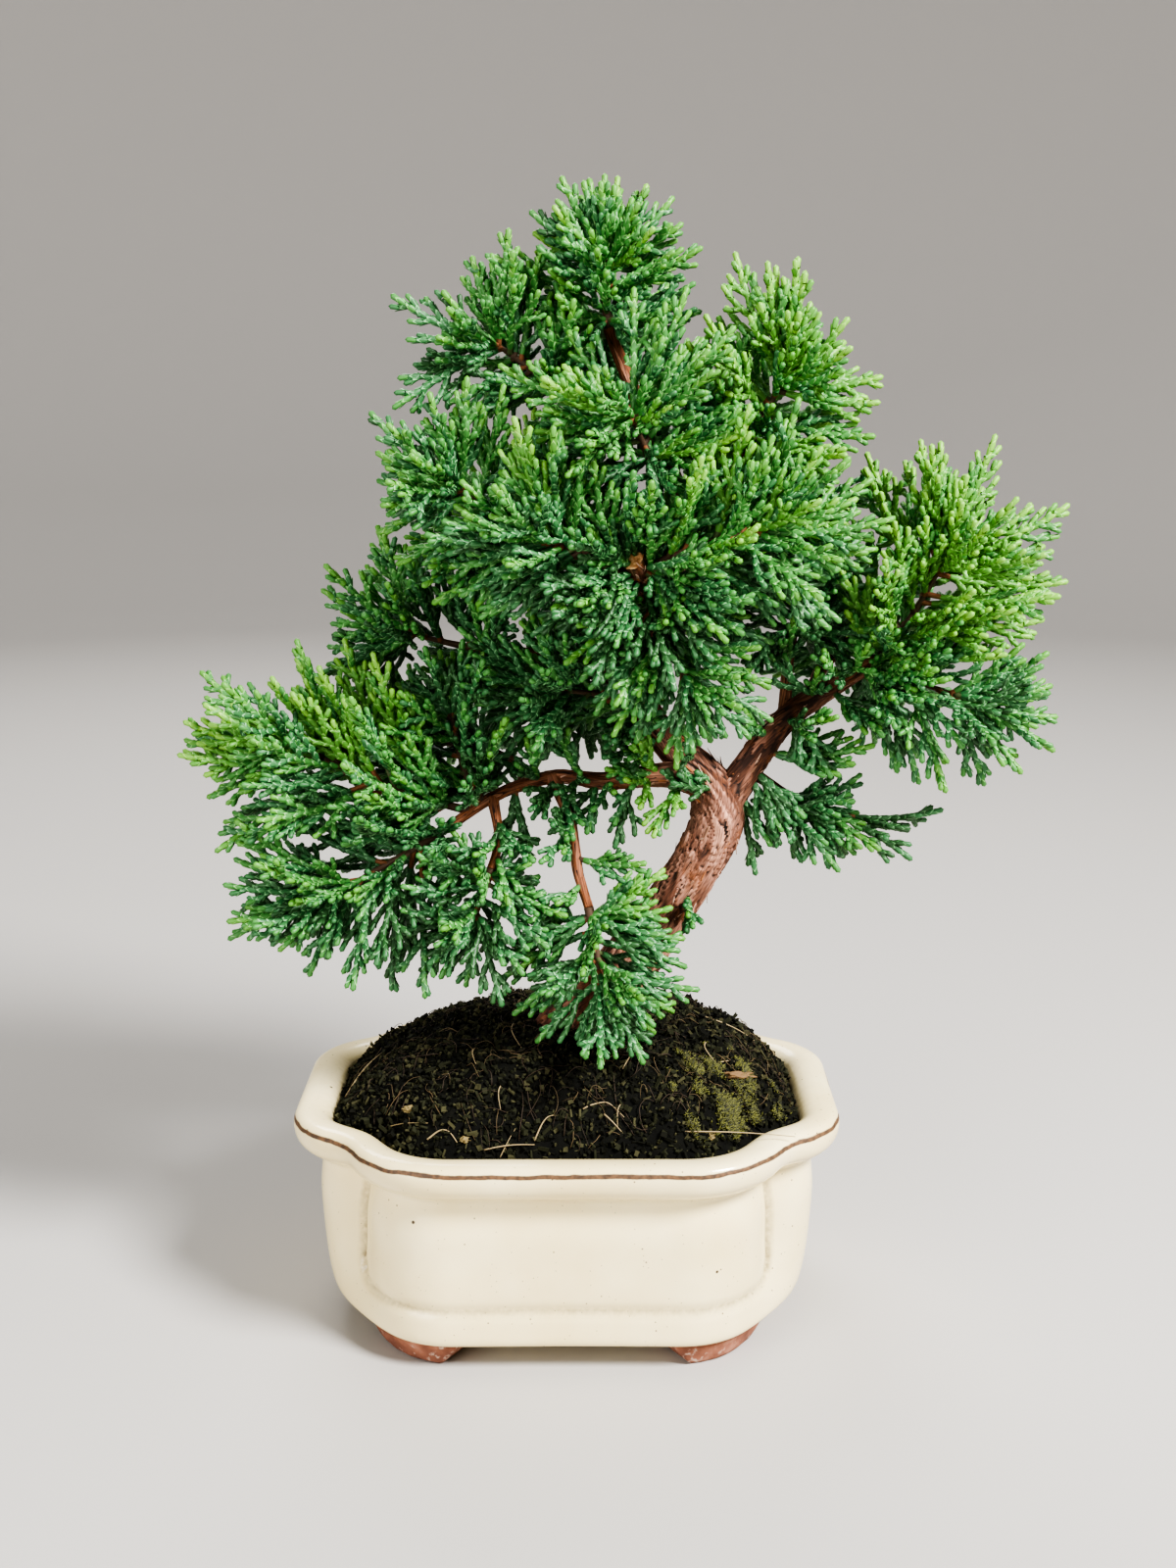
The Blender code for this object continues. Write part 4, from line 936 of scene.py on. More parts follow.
def make_feet(clay):
    """Four bracket feet, worn round at the edges, each under a corner of the pot."""
    for corner, (sign_x, sign_y) in {"front_left": (-1, -1), "front_right": (1, -1),
                                     "back_left": (-1, 1), "back_right": (1, 1)}.items():
        rings = []
        for level in range(FOOT_LEVELS + 1):
            share = level / FOOT_LEVELS
            ease = 0.9 * math.exp(-share * 14) + 0.6 * math.exp(-(1 - share) * 18)
            insets = between(FOOT_OUTER_INSETS, share) + ease, between(FOOT_INNER_INSETS, share) - ease
            trim = FOOT_BASE_TRIM * (1 - share) + 0.02 * ease
            bearings = np.linspace(FOOT_BEARINGS[0] + trim, FOOT_BEARINGS[1] - trim, FOOT_STEPS)
            z = FOOT_HEIGHT * share
            near, far = (plan_ring(bearings, inset, z, *OUTER_WALL[0][2:]) for inset in insets)
            steps = [k / FOOT_END_STEPS for k in range(1, FOOT_END_STEPS)]
            ring = near + [near[-1].lerp(far[-1], step) for step in steps]
            ring += far[::-1] + [far[0].lerp(near[0], step) for step in steps]
            for point in ring:
                grit = noise.noise((point.x / 2.5 + sign_x * 50, point.y / 2.5 + sign_y * 50, z / 2.5))
                point.xy *= 1 + FOOT_ROUGHNESS * (grit - 0.4) / point.xy.length
            rings.append([Vector((sign_x * p.x, sign_y * p.y, z)) for p in ring])
        bm = bmesh.new()
        loft(bm, rings)
        bmesh_piece(bm, f"clay_foot_{corner}", [clay], [f"foot_{corner}"])


def trunk_foot():
    """Where the trunk's centre line comes out of the soil."""
    points = smooth_path([place for place, _ in TRUNK], 6)
    return min(points, key=lambda p: abs(p.z - SOIL_PEAK))


def make_mound(peat):
    """The peat's surface, lumpy, from the pot's wall up to the trunk. Gives back what a ray can hit."""
    foot_x = trunk_foot().x
    edge = plan_ring(plan_bearings(SOIL_PLAN_POINTS), *SOIL_EDGE)
    rings = [plan_ring(plan_bearings(SOIL_PLAN_POINTS), *SOIL_FLOOR), edge]
    for level in range(1, SOIL_RINGS + 1):
        out = 1 - level / SOIL_RINGS
        ring = []
        for outer in edge:
            bearing = math.atan2(outer.y, outer.x - foot_x)
            inner = Vector((foot_x + COLLAR_RADIUS * math.cos(bearing), COLLAR_RADIUS * math.sin(bearing), 0))
            point = inner.lerp(outer, out)
            lump = noise.noise((point.x / LUMP_SIZE, point.y / LUMP_SIZE, 0))
            grains = noise.noise(point / 4) + 0.6 * noise.noise(point / 1.6)
            point.z = SOIL_PEAK - (SOIL_PEAK - SOIL_EDGE[1]) * out**SOIL_ROUNDNESS
            point.z += SOIL_LUMPS * lump * min(1, LUMP_FADE * (1 - out), LUMP_FADE * out)
            point.z += SOIL_GRAIN * grains * min(1, 3 * (1 - out)) * min(1, 0.3 + out)
            ring.append(point)
        rings.append(ring)
    bm = bmesh.new()
    loft(bm, rings)
    ground = BVHTree.FromBMesh(bm)
    bmesh_piece(bm, "peat_mound", [peat], ["soil"])
    return ground


def on_ground(ground, x, y):
    """The place and the upward direction of the soil's surface at a spot in plan."""
    place, normal, _, _ = ground.ray_cast(Vector((x, y, 2 * SOIL_PEAK)), Vector((0, 0, -1)))
    if place is None:
        return None, None
    return place, normal if normal.z > 0 else -normal


def soil_spots(rng, count, inset):
    """Spots spread over the soil inside the pot's rim, clear of the trunk."""
    foot, spots = trunk_foot(), []
    while len(spots) < count:
        x = rng.uniform(-LOBE_HALF_WIDTH, LOBE_HALF_WIDTH)
        y = rng.uniform(-PANEL_HALF_DEPTH, PANEL_HALF_DEPTH)
        if plan_distance(x, y, SOIL_EDGE[2]) < -inset and math.hypot(x - foot.x, y) > TRUNK_CLEARANCE:
            spots.append((x, y))
    return spots


def random_axes(rng, normal=None):
    """Three directions at right angles, the last one the normal if there is one."""
    last = normal or random_vector(rng.gauss, 0, 1).normalized()
    first = last.cross(random_vector(rng.gauss, 0, 1)).normalized()
    return first, last.cross(first), last


def make_crumbs(ground, shades):
    """Loose granules of peat all over the mound."""
    rng = random.Random(f"{SEED} crumbs")
    bm = bmesh.new()
    bmesh.ops.create_cube(bm, size=0.75)
    for vert in bm.verts:
        vert.co *= rng.uniform(0.7, 1.15)
    copies, deal = [], dealt(CRUMB_SHADES)
    for x, y in soil_spots(rng, CRUMBS, CRUMB_INSET):
        place, normal = on_ground(ground, x, y)
        if place is None:
            continue
        size = between(CRUMB_SIZES, rng.random() ** CRUMB_FINENESS)
        axes = random_axes(rng)
        place += normal * rng.uniform(*CRUMB_LIFTS) * size
        sized = [axis * size * stretch for axis, stretch in zip(axes, rng.choice(CRUMB_STRETCHES))]
        copies.append((place, *sized, rng.choice(deal)))
    scatter("peat_crumbs", template(bm), copies, shades, smooth=False)


def root_line(rng, ground, x, y):
    """The places of a dead root that wanders over the peat from a spot."""
    turn, bend = rng.uniform(0, math.tau), rng.gauss(0, FIBRE_BEND)
    step = rng.uniform(*FIBRE_LENGTHS) / FIBRE_STEPS
    rise, points = rng.uniform(*FIBRE_RISES), []
    for k in range(FIBRE_STEPS + 1):
        place, _ = on_ground(ground, x, y)
        if place is None or plan_distance(x, y, SOIL_EDGE[2]) > -FIBRE_INSET:
            break
        points.append(place + Vector((0, 0, FIBRE_LIFT + rise * math.sin(math.pi * k / FIBRE_STEPS))))
        turn += bend + rng.gauss(0, FIBRE_WANDER)
        x, y = x + step * math.cos(turn), y + step * math.sin(turn)
    return points


def straw_line(ground, first, last, arch, swing):
    """The places of a straw from end to end, arched and swung aside, and never under the peat."""
    ends = []
    for x, y in (first, last):
        place, _ = on_ground(ground, x, y)
        ends.append((place or Vector((x, y, RIM_HEIGHT))) + Vector((0, 0, STRAW_LIFT)))
    aside = (ends[1] - ends[0]).cross((0, 0, 1)).normalized() * swing
    points = []
    for k in range(STRAW_STEPS + 1):
        hump = math.sin(math.pi * k / STRAW_STEPS)
        point = ends[0].lerp(ends[1], k / STRAW_STEPS) + hump * (aside + Vector((0, 0, arch)))
        floor, _ = on_ground(ground, point.x, point.y)
        if floor is not None:
            point.z = max(point.z, floor.z + STRAW_CLEARANCE)
        points.append(point)
    eased = [(a + b + c) / 3 for a, b, c in zip(points, points[1:], points[2:])]
    return [points[0], *eased, points[-1]]


def make_fibres(ground, shades):
    """Fine dead roots and straws that lie on the peat."""
    rng = random.Random(f"{SEED} fibres")
    parts, deal = [], dealt(FIBRE_SHADES)
    for x, y in soil_spots(rng, FIBRES, FIBRE_START_INSET):
        points = root_line(rng, ground, x, y)
        if len(points) > 3:
            radius = rng.uniform(*FIBRE_RADII)
            radii = [radius * (1 - 0.5 * k / len(points)) for k in range(len(points))]
            parts.append(tube_arrays(points, radii, 4, rng.choice(deal)))
    for first, last, arch, swing, radius in STRAWS:
        points = straw_line(ground, first, last, arch, swing)
        radii = [radius * (0.75 - 0.4 * k / STRAW_STEPS) for k in range(len(points))]
        parts.append(tube_arrays(points, radii, 6, STRAW_SHADE))
    array_piece("soil_fibres", join_arrays(parts), shades)


def make_moss(ground, shades):
    """A low patch of moss: leaves about a millimetre long that stand out of the peat in loose tufts."""
    rng = random.Random(f"{SEED} moss")
    bm = bmesh.new()
    bmesh.ops.create_cone(bm, cap_ends=True, segments=3, radius1=MOSS_RADIUS, radius2=0.0, depth=1.0,
                          matrix=Matrix.Translation((0, 0, 0.5)))
    copies, deal = [], dealt(MOSS_SHADES)
    while len(copies) < MOSS_LEAVES:
        bearing, reach = rng.uniform(0, math.tau), math.sqrt(rng.random())
        x = MOSS_MIDDLE[0] + MOSS_REACH[0] * reach * math.cos(bearing)
        y = MOSS_MIDDLE[1] + MOSS_REACH[1] * reach * math.sin(bearing)
        tufts = 1.6 * noise.noise((x / 5, y / 5, 0)) + 0.6 * noise.noise((x / 1.8, y / 1.8, 0))
        thick = tufts + 0.62 - reach
        if plan_distance(x, y, SOIL_EDGE[2]) > -MOSS_INSET or thick < rng.random() * 0.9:
            continue
        place, normal = on_ground(ground, x, y)
        lean = (normal + random_vector(rng.gauss, 0, MOSS_LEAN)).normalized()
        first, second, last = random_axes(rng, lean)
        length = rng.uniform(*MOSS_LENGTHS) + max(0, thick) * 0.7
        copies.append((place + normal * rng.uniform(0, 0.6), first * 1.1, second * 1.1, last * length,
                       rng.choice(deal)))
    scatter("moss", template(bm), copies, shades)


def make_litter(ground, scrap, chip):
    """Scraps of dry leaf, husk and wood, and a flat chip of bark at the right, half sunk in the peat."""
    for name, (x, y), sizes, turn in LITTER:
        place, _ = on_ground(ground, x, y)
        bm = bmesh.new()
        bmesh.ops.create_icosphere(bm, subdivisions=4, radius=0.5)
        for vert in bm.verts:
            lump = 1 + 0.55 * noise.noise(vert.co * 4 + Vector((x, y, 0))) + 0.3 * noise.noise(vert.co * 11)
            vert.co = Vector(c * s for c, s in zip(vert.co * lump, sizes))
        turned = Matrix.Rotation(turn, 4, "Z") @ Matrix.Rotation(0.15, 4, "Y")
        lifted = Matrix.Translation(place + Vector((0, 0, 0.35 * sizes[2])))
        bmesh.ops.transform(bm, verts=bm.verts, matrix=lifted @ turned)
        bmesh_piece(bm, name, [chip if name == "bark_chip" else scrap])


def trunk_swell(point, angle):
    """Root flare in rounded ridges near the ground, and shallow flutes further up."""
    flare = math.exp(-max(point.z - SOIL_PEAK, 0) / FLARE_HEIGHT)
    ridges = 0.5 + 0.5 * math.sin(FLARE_RIDGES * angle + 0.6)
    flutes = FLUTE_DEPTH * math.sin(3 * angle + point.z / FLUTE_LENGTH)
    return 1 + ROOT_FLARE * flare * (0.45 + 0.55 * ridges) + flutes


def bark_at(angle, run, radius, seed):
    """How far the bark stands out in millimetres, how deep in its strip, and its tone."""
    angle += BARK_TWIST * run
    x, y = radius * math.cos(angle), radius * math.sin(angle)
    width = min(STRIP_WIDTH, 0.45 * radius + 0.5)
    wander = noise.noise((x / STRIP_SWING + seed, y / STRIP_SWING, run / STRIP_SWING_RUN))
    strips = noise.noise((x / width, y / width + seed, run / STRIP_LENGTH))
    layers = 2.4 * strips + 1.6 * wander + 4
    layer = layers % 1.0
    tone = 0.5 + 0.9 * noise.noise((math.floor(layers) * 3.7 + seed, x / 8, run / 26))
    fibres = noise.noise((x / FIBRE_WIDTH, y / FIBRE_WIDTH, run / FIBRE_RUN + seed))
    knots = noise.noise((x / KNOT_WIDTH, y / KNOT_WIDTH, run / KNOT_LENGTH + 3 * seed))
    depth = STRIP_DEPTH * min(radius, 7.5)
    height = depth * (layer**0.6 - 0.5) + FIBRE_DEPTH * radius**0.5 * fibres + KNOT_DEPTH * radius * knots
    return height, layer, clamp(tone + 0.3 * fibres)


def bark_limb(bm, limb, sides, gap, seed, trunk=False):
    """Sweeps a limb with the relief of its bark, and marks its layer, tone, youth and grain."""
    stations = limb.stations(gap)
    frames = line_frames([place for place, _, _ in stations])
    rings, marks = [], []
    for (point, radius, run), (_, side, across) in zip(stations, frames):
        ring, mark = [], []
        collar = 0.0 if trunk else COLLAR_SWELL * math.exp(-run / COLLAR_LENGTH)
        for k in range(sides):
            angle = math.tau * k / sides
            height, layer, tone = bark_at(angle, run, radius, seed)
            swell = trunk_swell(point, angle) if trunk else 1 + collar
            out = radius * swell + height
            ring.append(point + out * (math.cos(angle) * side + math.sin(angle) * across))
            mark.append((layer, tone))
        rings.append(ring)
        marks.append(mark)
    ends, spots = loft(bm, rings)
    layer_mark, tone_mark = bm.verts.layers.float["layer"], bm.verts.layers.float["tone"]
    youth_mark, grain = bm.verts.layers.float["youth"], bm.loops.layers.uv["grain"]
    for vert, (column, level) in spots.items():
        vert[layer_mark], vert[tone_mark] = marks[level][column % sides]
        vert[youth_mark] = clamp(YOUNG_BELOW - stations[level][1] / YOUNG_FADE)
    for face in {face for vert in spots for face in vert.link_faces if len(face.verts) == 4}:
        last_column = any(spots[v][0] == sides - 1 for v in face.verts)
        for loop in face.loops:
            column, level = spots[loop.vert]
            column = sides if column == 0 and last_column else column
            loop[grain].uv = (math.tau * column / sides * stations[level][1] + 7 * seed, stations[level][2])
    return ends


def make_bark(limbs, bark, cut):
    """The trunk and the boughs with their bark, and the pale end of the sawn stub."""
    for name, members in (("bark_trunk", ["trunk"]), ("bark_boughs", list(BOUGHS))):
        bm = bmesh.new()
        for layer in ("layer", "tone", "youth"):
            bm.verts.layers.float.new(layer)
        bm.loops.layers.uv.new("grain")
        for number, member in enumerate(members):
            if member == "trunk":
                bark_limb(bm, limbs[member], TRUNK_SIDES, TRUNK_RING_GAP, 0.5, trunk=True)
                bmesh.ops.bisect_plane(bm, geom=bm.verts[:] + bm.edges[:] + bm.faces[:], dist=0.0001,
                                       plane_co=(0, 0, SOIL_PEAK - TRUNK_SUNK), plane_no=(0, 0, 1),
                                       clear_inner=True)
                bmesh.ops.holes_fill(bm, edges=[e for e in bm.edges if e.is_boundary])
                continue
            radius = limbs[member].radii[0]
            ends = bark_limb(bm, limbs[member], BOUGH_SIDES if radius < 4 else 2 * BOUGH_SIDES,
                             BOUGH_RING_GAP, number + 1.3)
            if member == STUB:
                ends[1].material_index = 1
                bmesh.ops.inset_region(bm, faces=[ends[1]], thickness=0.35, depth=0.0)
        bmesh_piece(bm, name, [bark, cut], members)


def make_flakes(limbs, shades):
    """Strips of bark that have come loose at one end and curl away from trunk and boughs."""
    rng = random.Random(f"{SEED} flakes")
    bm = bmesh.new()
    bmesh.ops.create_grid(bm, x_segments=5, y_segments=1, size=0.5)
    for vert in bm.verts:
        along = vert.co.x + 0.5
        vert.co = (along, vert.co.y * (1 - 0.75 * along**2), 0.4 * along**2)
    bmesh.ops.solidify(bm, geom=bm.faces[:], thickness=0.035)
    copies, deal = [], dealt(FLAKE_SHADES)
    while len(copies) < FLAKES:
        name = rng.choice(FLAKE_LIMBS)
        torn = name == STUB
        stations = limbs[name].stations(1.0)
        number = rng.randrange(6, len(stations) if torn else int(len(stations) * 0.75))
        point, radius, _ = stations[number]
        if point.z < SOIL_PEAK + FLAKE_FLOOR:
            continue
        heading, side, across = line_frames([place for place, _, _ in stations])[number]
        angle = rng.uniform(0, math.tau)
        out = math.cos(angle) * side + math.sin(angle) * across
        along = (heading * rng.choice((-1, 1)) + 0.25 * rng.gauss(0, 1) * heading.cross(out)).normalized()
        length = between(FLAKE_LENGTHS, rng.random() ** 2) * (0.9 if torn else min(1, radius / 5))
        width = rng.uniform(*FLAKE_WIDTHS)
        copies.append((point + out * radius, along * length, out.cross(along) * width,
                       out * length * rng.uniform(*FLAKE_CURLS), rng.choice(STUB_SHADES if torn else deal)))
    scatter("loose_bark", template(bm), copies, shades)


def leaf_shapes():
    """Two templates that are one unit round and one pitch long: a pair of scale leaves, and the
    blunt bud of leaves that closes a cord. The leaves' keels lie along Y."""
    shapes = []
    for closed in (False, True):
        bm = bmesh.new()
        sleeve = bmesh.ops.create_circle(bm, cap_ends=False, segments=6, radius=PAIR_BASE[0])["verts"]
        bmesh.ops.translate(bm, verts=sleeve, vec=(0, 0, PAIR_BASE[1]))
        grown = bmesh.ops.extrude_edge_only(bm, edges=bm.edges[:])["geom"]
        shoulder = [g for g in grown if isinstance(g, bmesh.types.BMVert)]
        for vert in shoulder:
            radius, height = PAIR_KEEL if abs(vert.co.x) < 0.1 else PAIR_VALLEY
            if closed:
                radius, height = BUD_SHOULDER
            vert.co = (*(vert.co.xy.normalized() * radius), height)
        keels = [v for v in shoulder if abs(v.co.x) < 0.1]
        for keel in [None] if closed else keels:
            rim = [e for e in bm.edges if e.is_boundary and all(v in shoulder for v in e.verts)]
            edges = [e for e in rim if keel is None or keel in e.verts]
            grown = bmesh.ops.extrude_edge_only(bm, edges=edges)["geom"]
            tips = [g for g in grown if isinstance(g, bmesh.types.BMVert)]
            tip = (0, 0, BUD_TOP) if keel is None else (0, math.copysign(PAIR_TIP[0], keel.co.y), PAIR_TIP[1])
            for face in {f for v in tips for f in v.link_faces}:
                face.material_index = 0 if closed else 1
            bmesh.ops.pointmerge(bm, verts=tips, merge_co=tip)
        shapes.append(template(bm))
    return shapes


class Growth:
    """What grows in one mass: the place, axes and shade of each pair of leaves and of each bud that
    closes a cord, and the lines, radii and shades of the twigs."""

    def __init__(self):
        self.pairs = [[], [], [], [], []]
        self.buds = [[], [], [], [], []]
        self.twigs = []

    def add_cord(self, shoot, start, cord, shade, ripe_and_lit=0.75):
        """Pairs of leaves from a share of the shoot's length to its tip, each a quarter turn on, and a
        shade lighter past the share its last argument gives: the new growth at the tip, and painted
        shade on the part nearer the foot, deeper in the mass."""
        radius, pitch = cord
        count = max(2, round(shoot.run.length * (1 - start) / pitch))
        t = (start + (1 - start) * (np.arange(count) + 0.3) / count)[:, None]
        run, bend = np.array(shoot.run), np.array(shoot.bend)
        points = np.array(shoot.root) + run * t + bend * (t * t - t)
        heading = run + bend * (2 * t - 1)
        heading /= np.linalg.norm(heading, axis=1)[:, None]
        across = np.cross(heading, np.array(shoot.face))
        across /= np.linalg.norm(across, axis=1)[:, None]
        up = np.cross(heading, across)
        odd = (np.arange(count) % 2 == 1)[:, None]
        wide = (radius * np.linspace(1.0, 0.88, count))[:, None]
        shades = np.full(count, 2 * shade)
        if shade < TIP_SHADE:
            shades[math.ceil(ripe_and_lit * count):] = 2 * (shade + 1)
        columns = (points, np.where(odd, up, across) * wide, np.where(odd, -across, up) * wide,
                   heading * pitch, shades)
        for pairs, buds, column in zip(self.pairs, self.buds, columns):
            pairs.append(column[:-1])
            buds.append(column[-1:])

    def place(self, name, looks, replaced=()):
        """The leaves as one piece and the twigs as another, in their shapes and finishes."""
        (pair, bud), leaf_shades, twig_shades = looks
        leaves = join_arrays([stamp(pair, *(np.concatenate(c) for c in self.pairs)),
                              stamp(bud, *(np.concatenate(c) for c in self.buds))])
        array_piece(f"leaves_{name}", leaves, leaf_shades, replaced)
        wood = join_arrays([tube_arrays(points, radii, 6, shade) for points, radii, shade in self.twigs])
        array_piece(f"twigs_{name}", wood, twig_shades)


class Shoot:
    """A gentle curve from a root to a tip, in a spray that faces one way."""

    def __init__(self, root, tip, bend, face):
        self.root, self.run, self.bend, self.face = root, tip - root, bend, face

    def place(self, t):
        return self.root + self.run * t + self.bend * (t * t - t)

    def heading(self, t):
        return (self.run + self.bend * (2 * t - 1)).normalized()


class Room:
    """The room one mass may fill: its own cell between its neighbours, over the ground, inside the
    solids' box and clear of every limb."""

    def __init__(self, name, box, limb_points, limb_radii):
        normals, reaches = [(0, 0, -1)], [-SOIL_PEAK]
        for other, (_, _, place, spans, _, _, _) in MASSES.items():
            if name and other != name:
                middle, size = Vector(MASSES[name][2]), sum(MASSES[name][3]) / 3
                apart = Vector(place) - middle
                reach = (apart.length_squared + size**2 - (sum(spans) / 3) ** 2) / (2 * apart.length)
                normal = apart.normalized()
                normals.append(tuple(normal))
                reaches.append(reach + middle.dot(normal) + CELL_OVERLAP)
        for axis in range(3):
            for sign, corner in ((-1, box[0]), (1, box[1])):
                normal = [0, 0, 0]
                normal[axis] = sign
                normals.append(normal)
                reaches.append(sign * corner[axis] - BOX_MARGIN)
        self.normals, self.reaches = np.array(normals), np.array(reaches)
        self.limb_points, self.limb_radii = limb_points, limb_radii

    @staticmethod
    def of_limbs(limbs):
        """Places along every limb with their radii, and along the free space before the wood that shows."""
        stations = [(place, radius) for limb in limbs.values()
                    for place, radius, _ in limb.stations(CLEAR_STEP)]
        for name, along, width in SHOWN_WOOD:
            place = limbs[name].place(along)
            view = (Vector(CAMERA_PLACE) - place).normalized()
            stations += [(place + view * step, width - LIMB_CLEARANCE)
                         for step in range(VIEW_STEP, VIEW_DEPTH, VIEW_STEP)]
        return np.array([place for place, _ in stations]), np.array([radius for _, radius in stations])

    def holds(self, point):
        return bool((self.normals @ np.array(point) < self.reaches).all())

    def clear(self, point):
        apart = np.linalg.norm(self.limb_points - np.array(point), axis=1)
        return bool((apart > self.limb_radii + LIMB_CLEARANCE).all())


def shoot_tips(name, rng):
    """The named furthest shoots, then the others spread evenly over the mass by the golden angle."""
    _, _, middle, radii, count, furthest, _ = MASSES[name]
    tips, middle = [Vector(tip) for tip in furthest], Vector(middle)
    others = [(Vector(mass[2]), mass[3]) for other, mass in MASSES.items() if other != name]
    total = TIPS_PER_SPRAY * count
    turn = rng.uniform(0, math.tau)
    for i in sorted(range(total), key=lambda i: (i * 7) % total):
        height = 1 - 2 * (i + 0.5) / total
        width = math.sqrt(1 - height**2)
        bearing = turn + GOLDEN_ANGLE * i
        direction = Vector((width * math.cos(bearing), width * math.sin(bearing), height))
        skin = Vector(d * r for d, r in zip(direction, radii))
        beyond = middle + 1.25 * skin
        crowded = any(Vector((beyond - place)[k] / spans[k] for k in range(3)).length < 1.3
                      for place, spans in others)
        swell = rng.uniform(*(VALLEY_SWELL if crowded else TIP_SWELL))
        swell += LONG_SHOOT if rng.random() < LONG_SHARE else 0
        tips.append(middle + swell * skin)
    return tips


def fitting_tip(room, root, tip):
    """The tip, drawn back towards the root until it is in the room, or None if that gets too short."""
    spike = tip - root
    while spike.length > SHORTEST_CORD:
        if room.holds(root + spike) and room.clear(root + spike):
            return root + spike
        spike *= DRAWN_BACK
    return None


def side_shoots(shoot, start, spacing, reach, lean, roll, room, rng, last_gap):
    """Shoots that leave another one by turns to its two sides, shorter towards its tip, each with its
    share of the way there."""
    length = shoot.run.length
    place, sign = start * length + spacing * rng.uniform(0.3, 0.9), rng.choice((-1, 1))
    while place < length - last_gap:
        t = place / length
        share = (t - start) / (1 - start)
        heading = shoot.heading(t)
        side = heading.cross(shoot.face).normalized() * sign
        face = side.cross(heading) * sign
        turned = Matrix.Rotation(rng.gauss(0, roll), 3, heading)
        side, face = turned @ side, turned @ face
        angle = lean * rng.uniform(0.8, 1.25)
        size = reach * (1.05 - 0.5 * share) * rng.uniform(0.75, 1.15) * min(1, 0.6 + 3 * share)
        size = min(size, (TAPER[0] * (length - place) + TAPER[1]) * rng.uniform(0.8, 1.2))
        root = shoot.place(t)
        spike = size * (math.cos(angle) * heading + math.sin(angle) * side)
        tip = fitting_tip(room, root, root + spike)
        if tip is not None:
            bend = (heading - 0.5 * side + Vector((0, 0, 0.25))) * FORWARD_BEND * size
            yield Shoot(root, tip, bend, face), share
        place += spacing * rng.uniform(0.85, 1.15)
        sign = -sign


def grow_plume(growth, root, tip, face, room, fresh, rng):
    """A leader: a bare foot, then a cord of leaves with side branchlets by turns and nubs on those."""
    run = tip - root
    lift = LEADER_LIFT * run.length * Vector((0, 0, 1 if tip.z > root.z - 8 else -0.4))
    leader = Shoot(root, tip, lift, face)
    start = max(BARE_SHARE, 1 - LEAFY_LENGTH / run.length)
    # The fresh value holds the green of new growth and painted light together, and sets the shade
    fresh = clamp(fresh, 0, 0.99)
    shade = int(TIP_SHADE * fresh)
    stretch = 1 + OLD_REACH * max(0, 1 - fresh / OLD_BELOW)
    steps = range(PLUME_TWIG_STEPS + 1)
    twig = [leader.place(start * 1.25 * k / PLUME_TWIG_STEPS) for k in steps]
    radii = [PLUME_TWIG_RADIUS - PLUME_TWIG_TAPER * k for k in steps]
    growth.twigs.append((twig, radii, rng.choice(dealt(TWIG_SHADES))))
    growth.add_cord(leader, start, LEADER_CORD, shade)
    branchlet_form = BRANCHLET_SPACING * stretch, BRANCHLET_REACH * stretch, BRANCHLET_LEAN, BRANCHLET_ROLL
    nub_form = NUB_SPACING * stretch, NUB_REACH * stretch, NUB_LEAN, NUB_ROLL
    for branchlet, share in side_shoots(leader, start, *branchlet_form, room, rng, LAST_GAP):
        # Painted shade: branchlets nearer the plume's foot, deeper in the mass, are more often a shade darker
        tone = max(0, shade - (rng.random() < 0.5 - 0.4 * share))
        if rng.random() < DRIED_SHARE * (1.5 - share):
            tone = DRIED_SHADE
        ripe_and_lit = 0.95 - 0.35 * share
        growth.add_cord(branchlet, 0.0, BRANCHLET_CORD, tone, ripe_and_lit)
        if branchlet.run.length < SHORTEST_WITH_NUBS:
            continue
        for nub, _ in side_shoots(branchlet, 0.2, *nub_form, room, rng, LAST_GAP / 2):
            growth.add_cord(nub, 0.0, NUB_CORD, tone, ripe_and_lit)


def root_on_stem(stem, tip, room):
    """Where a shoot leaves the stem of its mass: some way short of its tip's level, and in the room."""
    run = stem.points[-1] - stem.points[0]
    level = (tip - stem.points[0]).dot(run) / run.length_squared
    share = clamp(level - ROOT_LEAD, *ROOT_RANGE)
    while share < ROOT_RANGE[1] and not room.holds(stem.place(share * 2)):
        share += ROOT_STEP
    return stem.place(share * 2)


def free_end(root, tip, room):
    """Where a shoot can end on its way to its tip and stay clear of every limb, or None."""
    for shrink in np.arange(1.0, SHORTEST_SHARE, -SHARE_STEP):
        end = root.lerp(tip, float(shrink))
        if (end - root).length < SHORTEST_SHOOT or not room.holds(end):
            continue
        if all(room.clear(root.lerp(end, t)) for t in (0.35, 0.5, 0.65, 0.8, 1.0)):
            return end
    return None


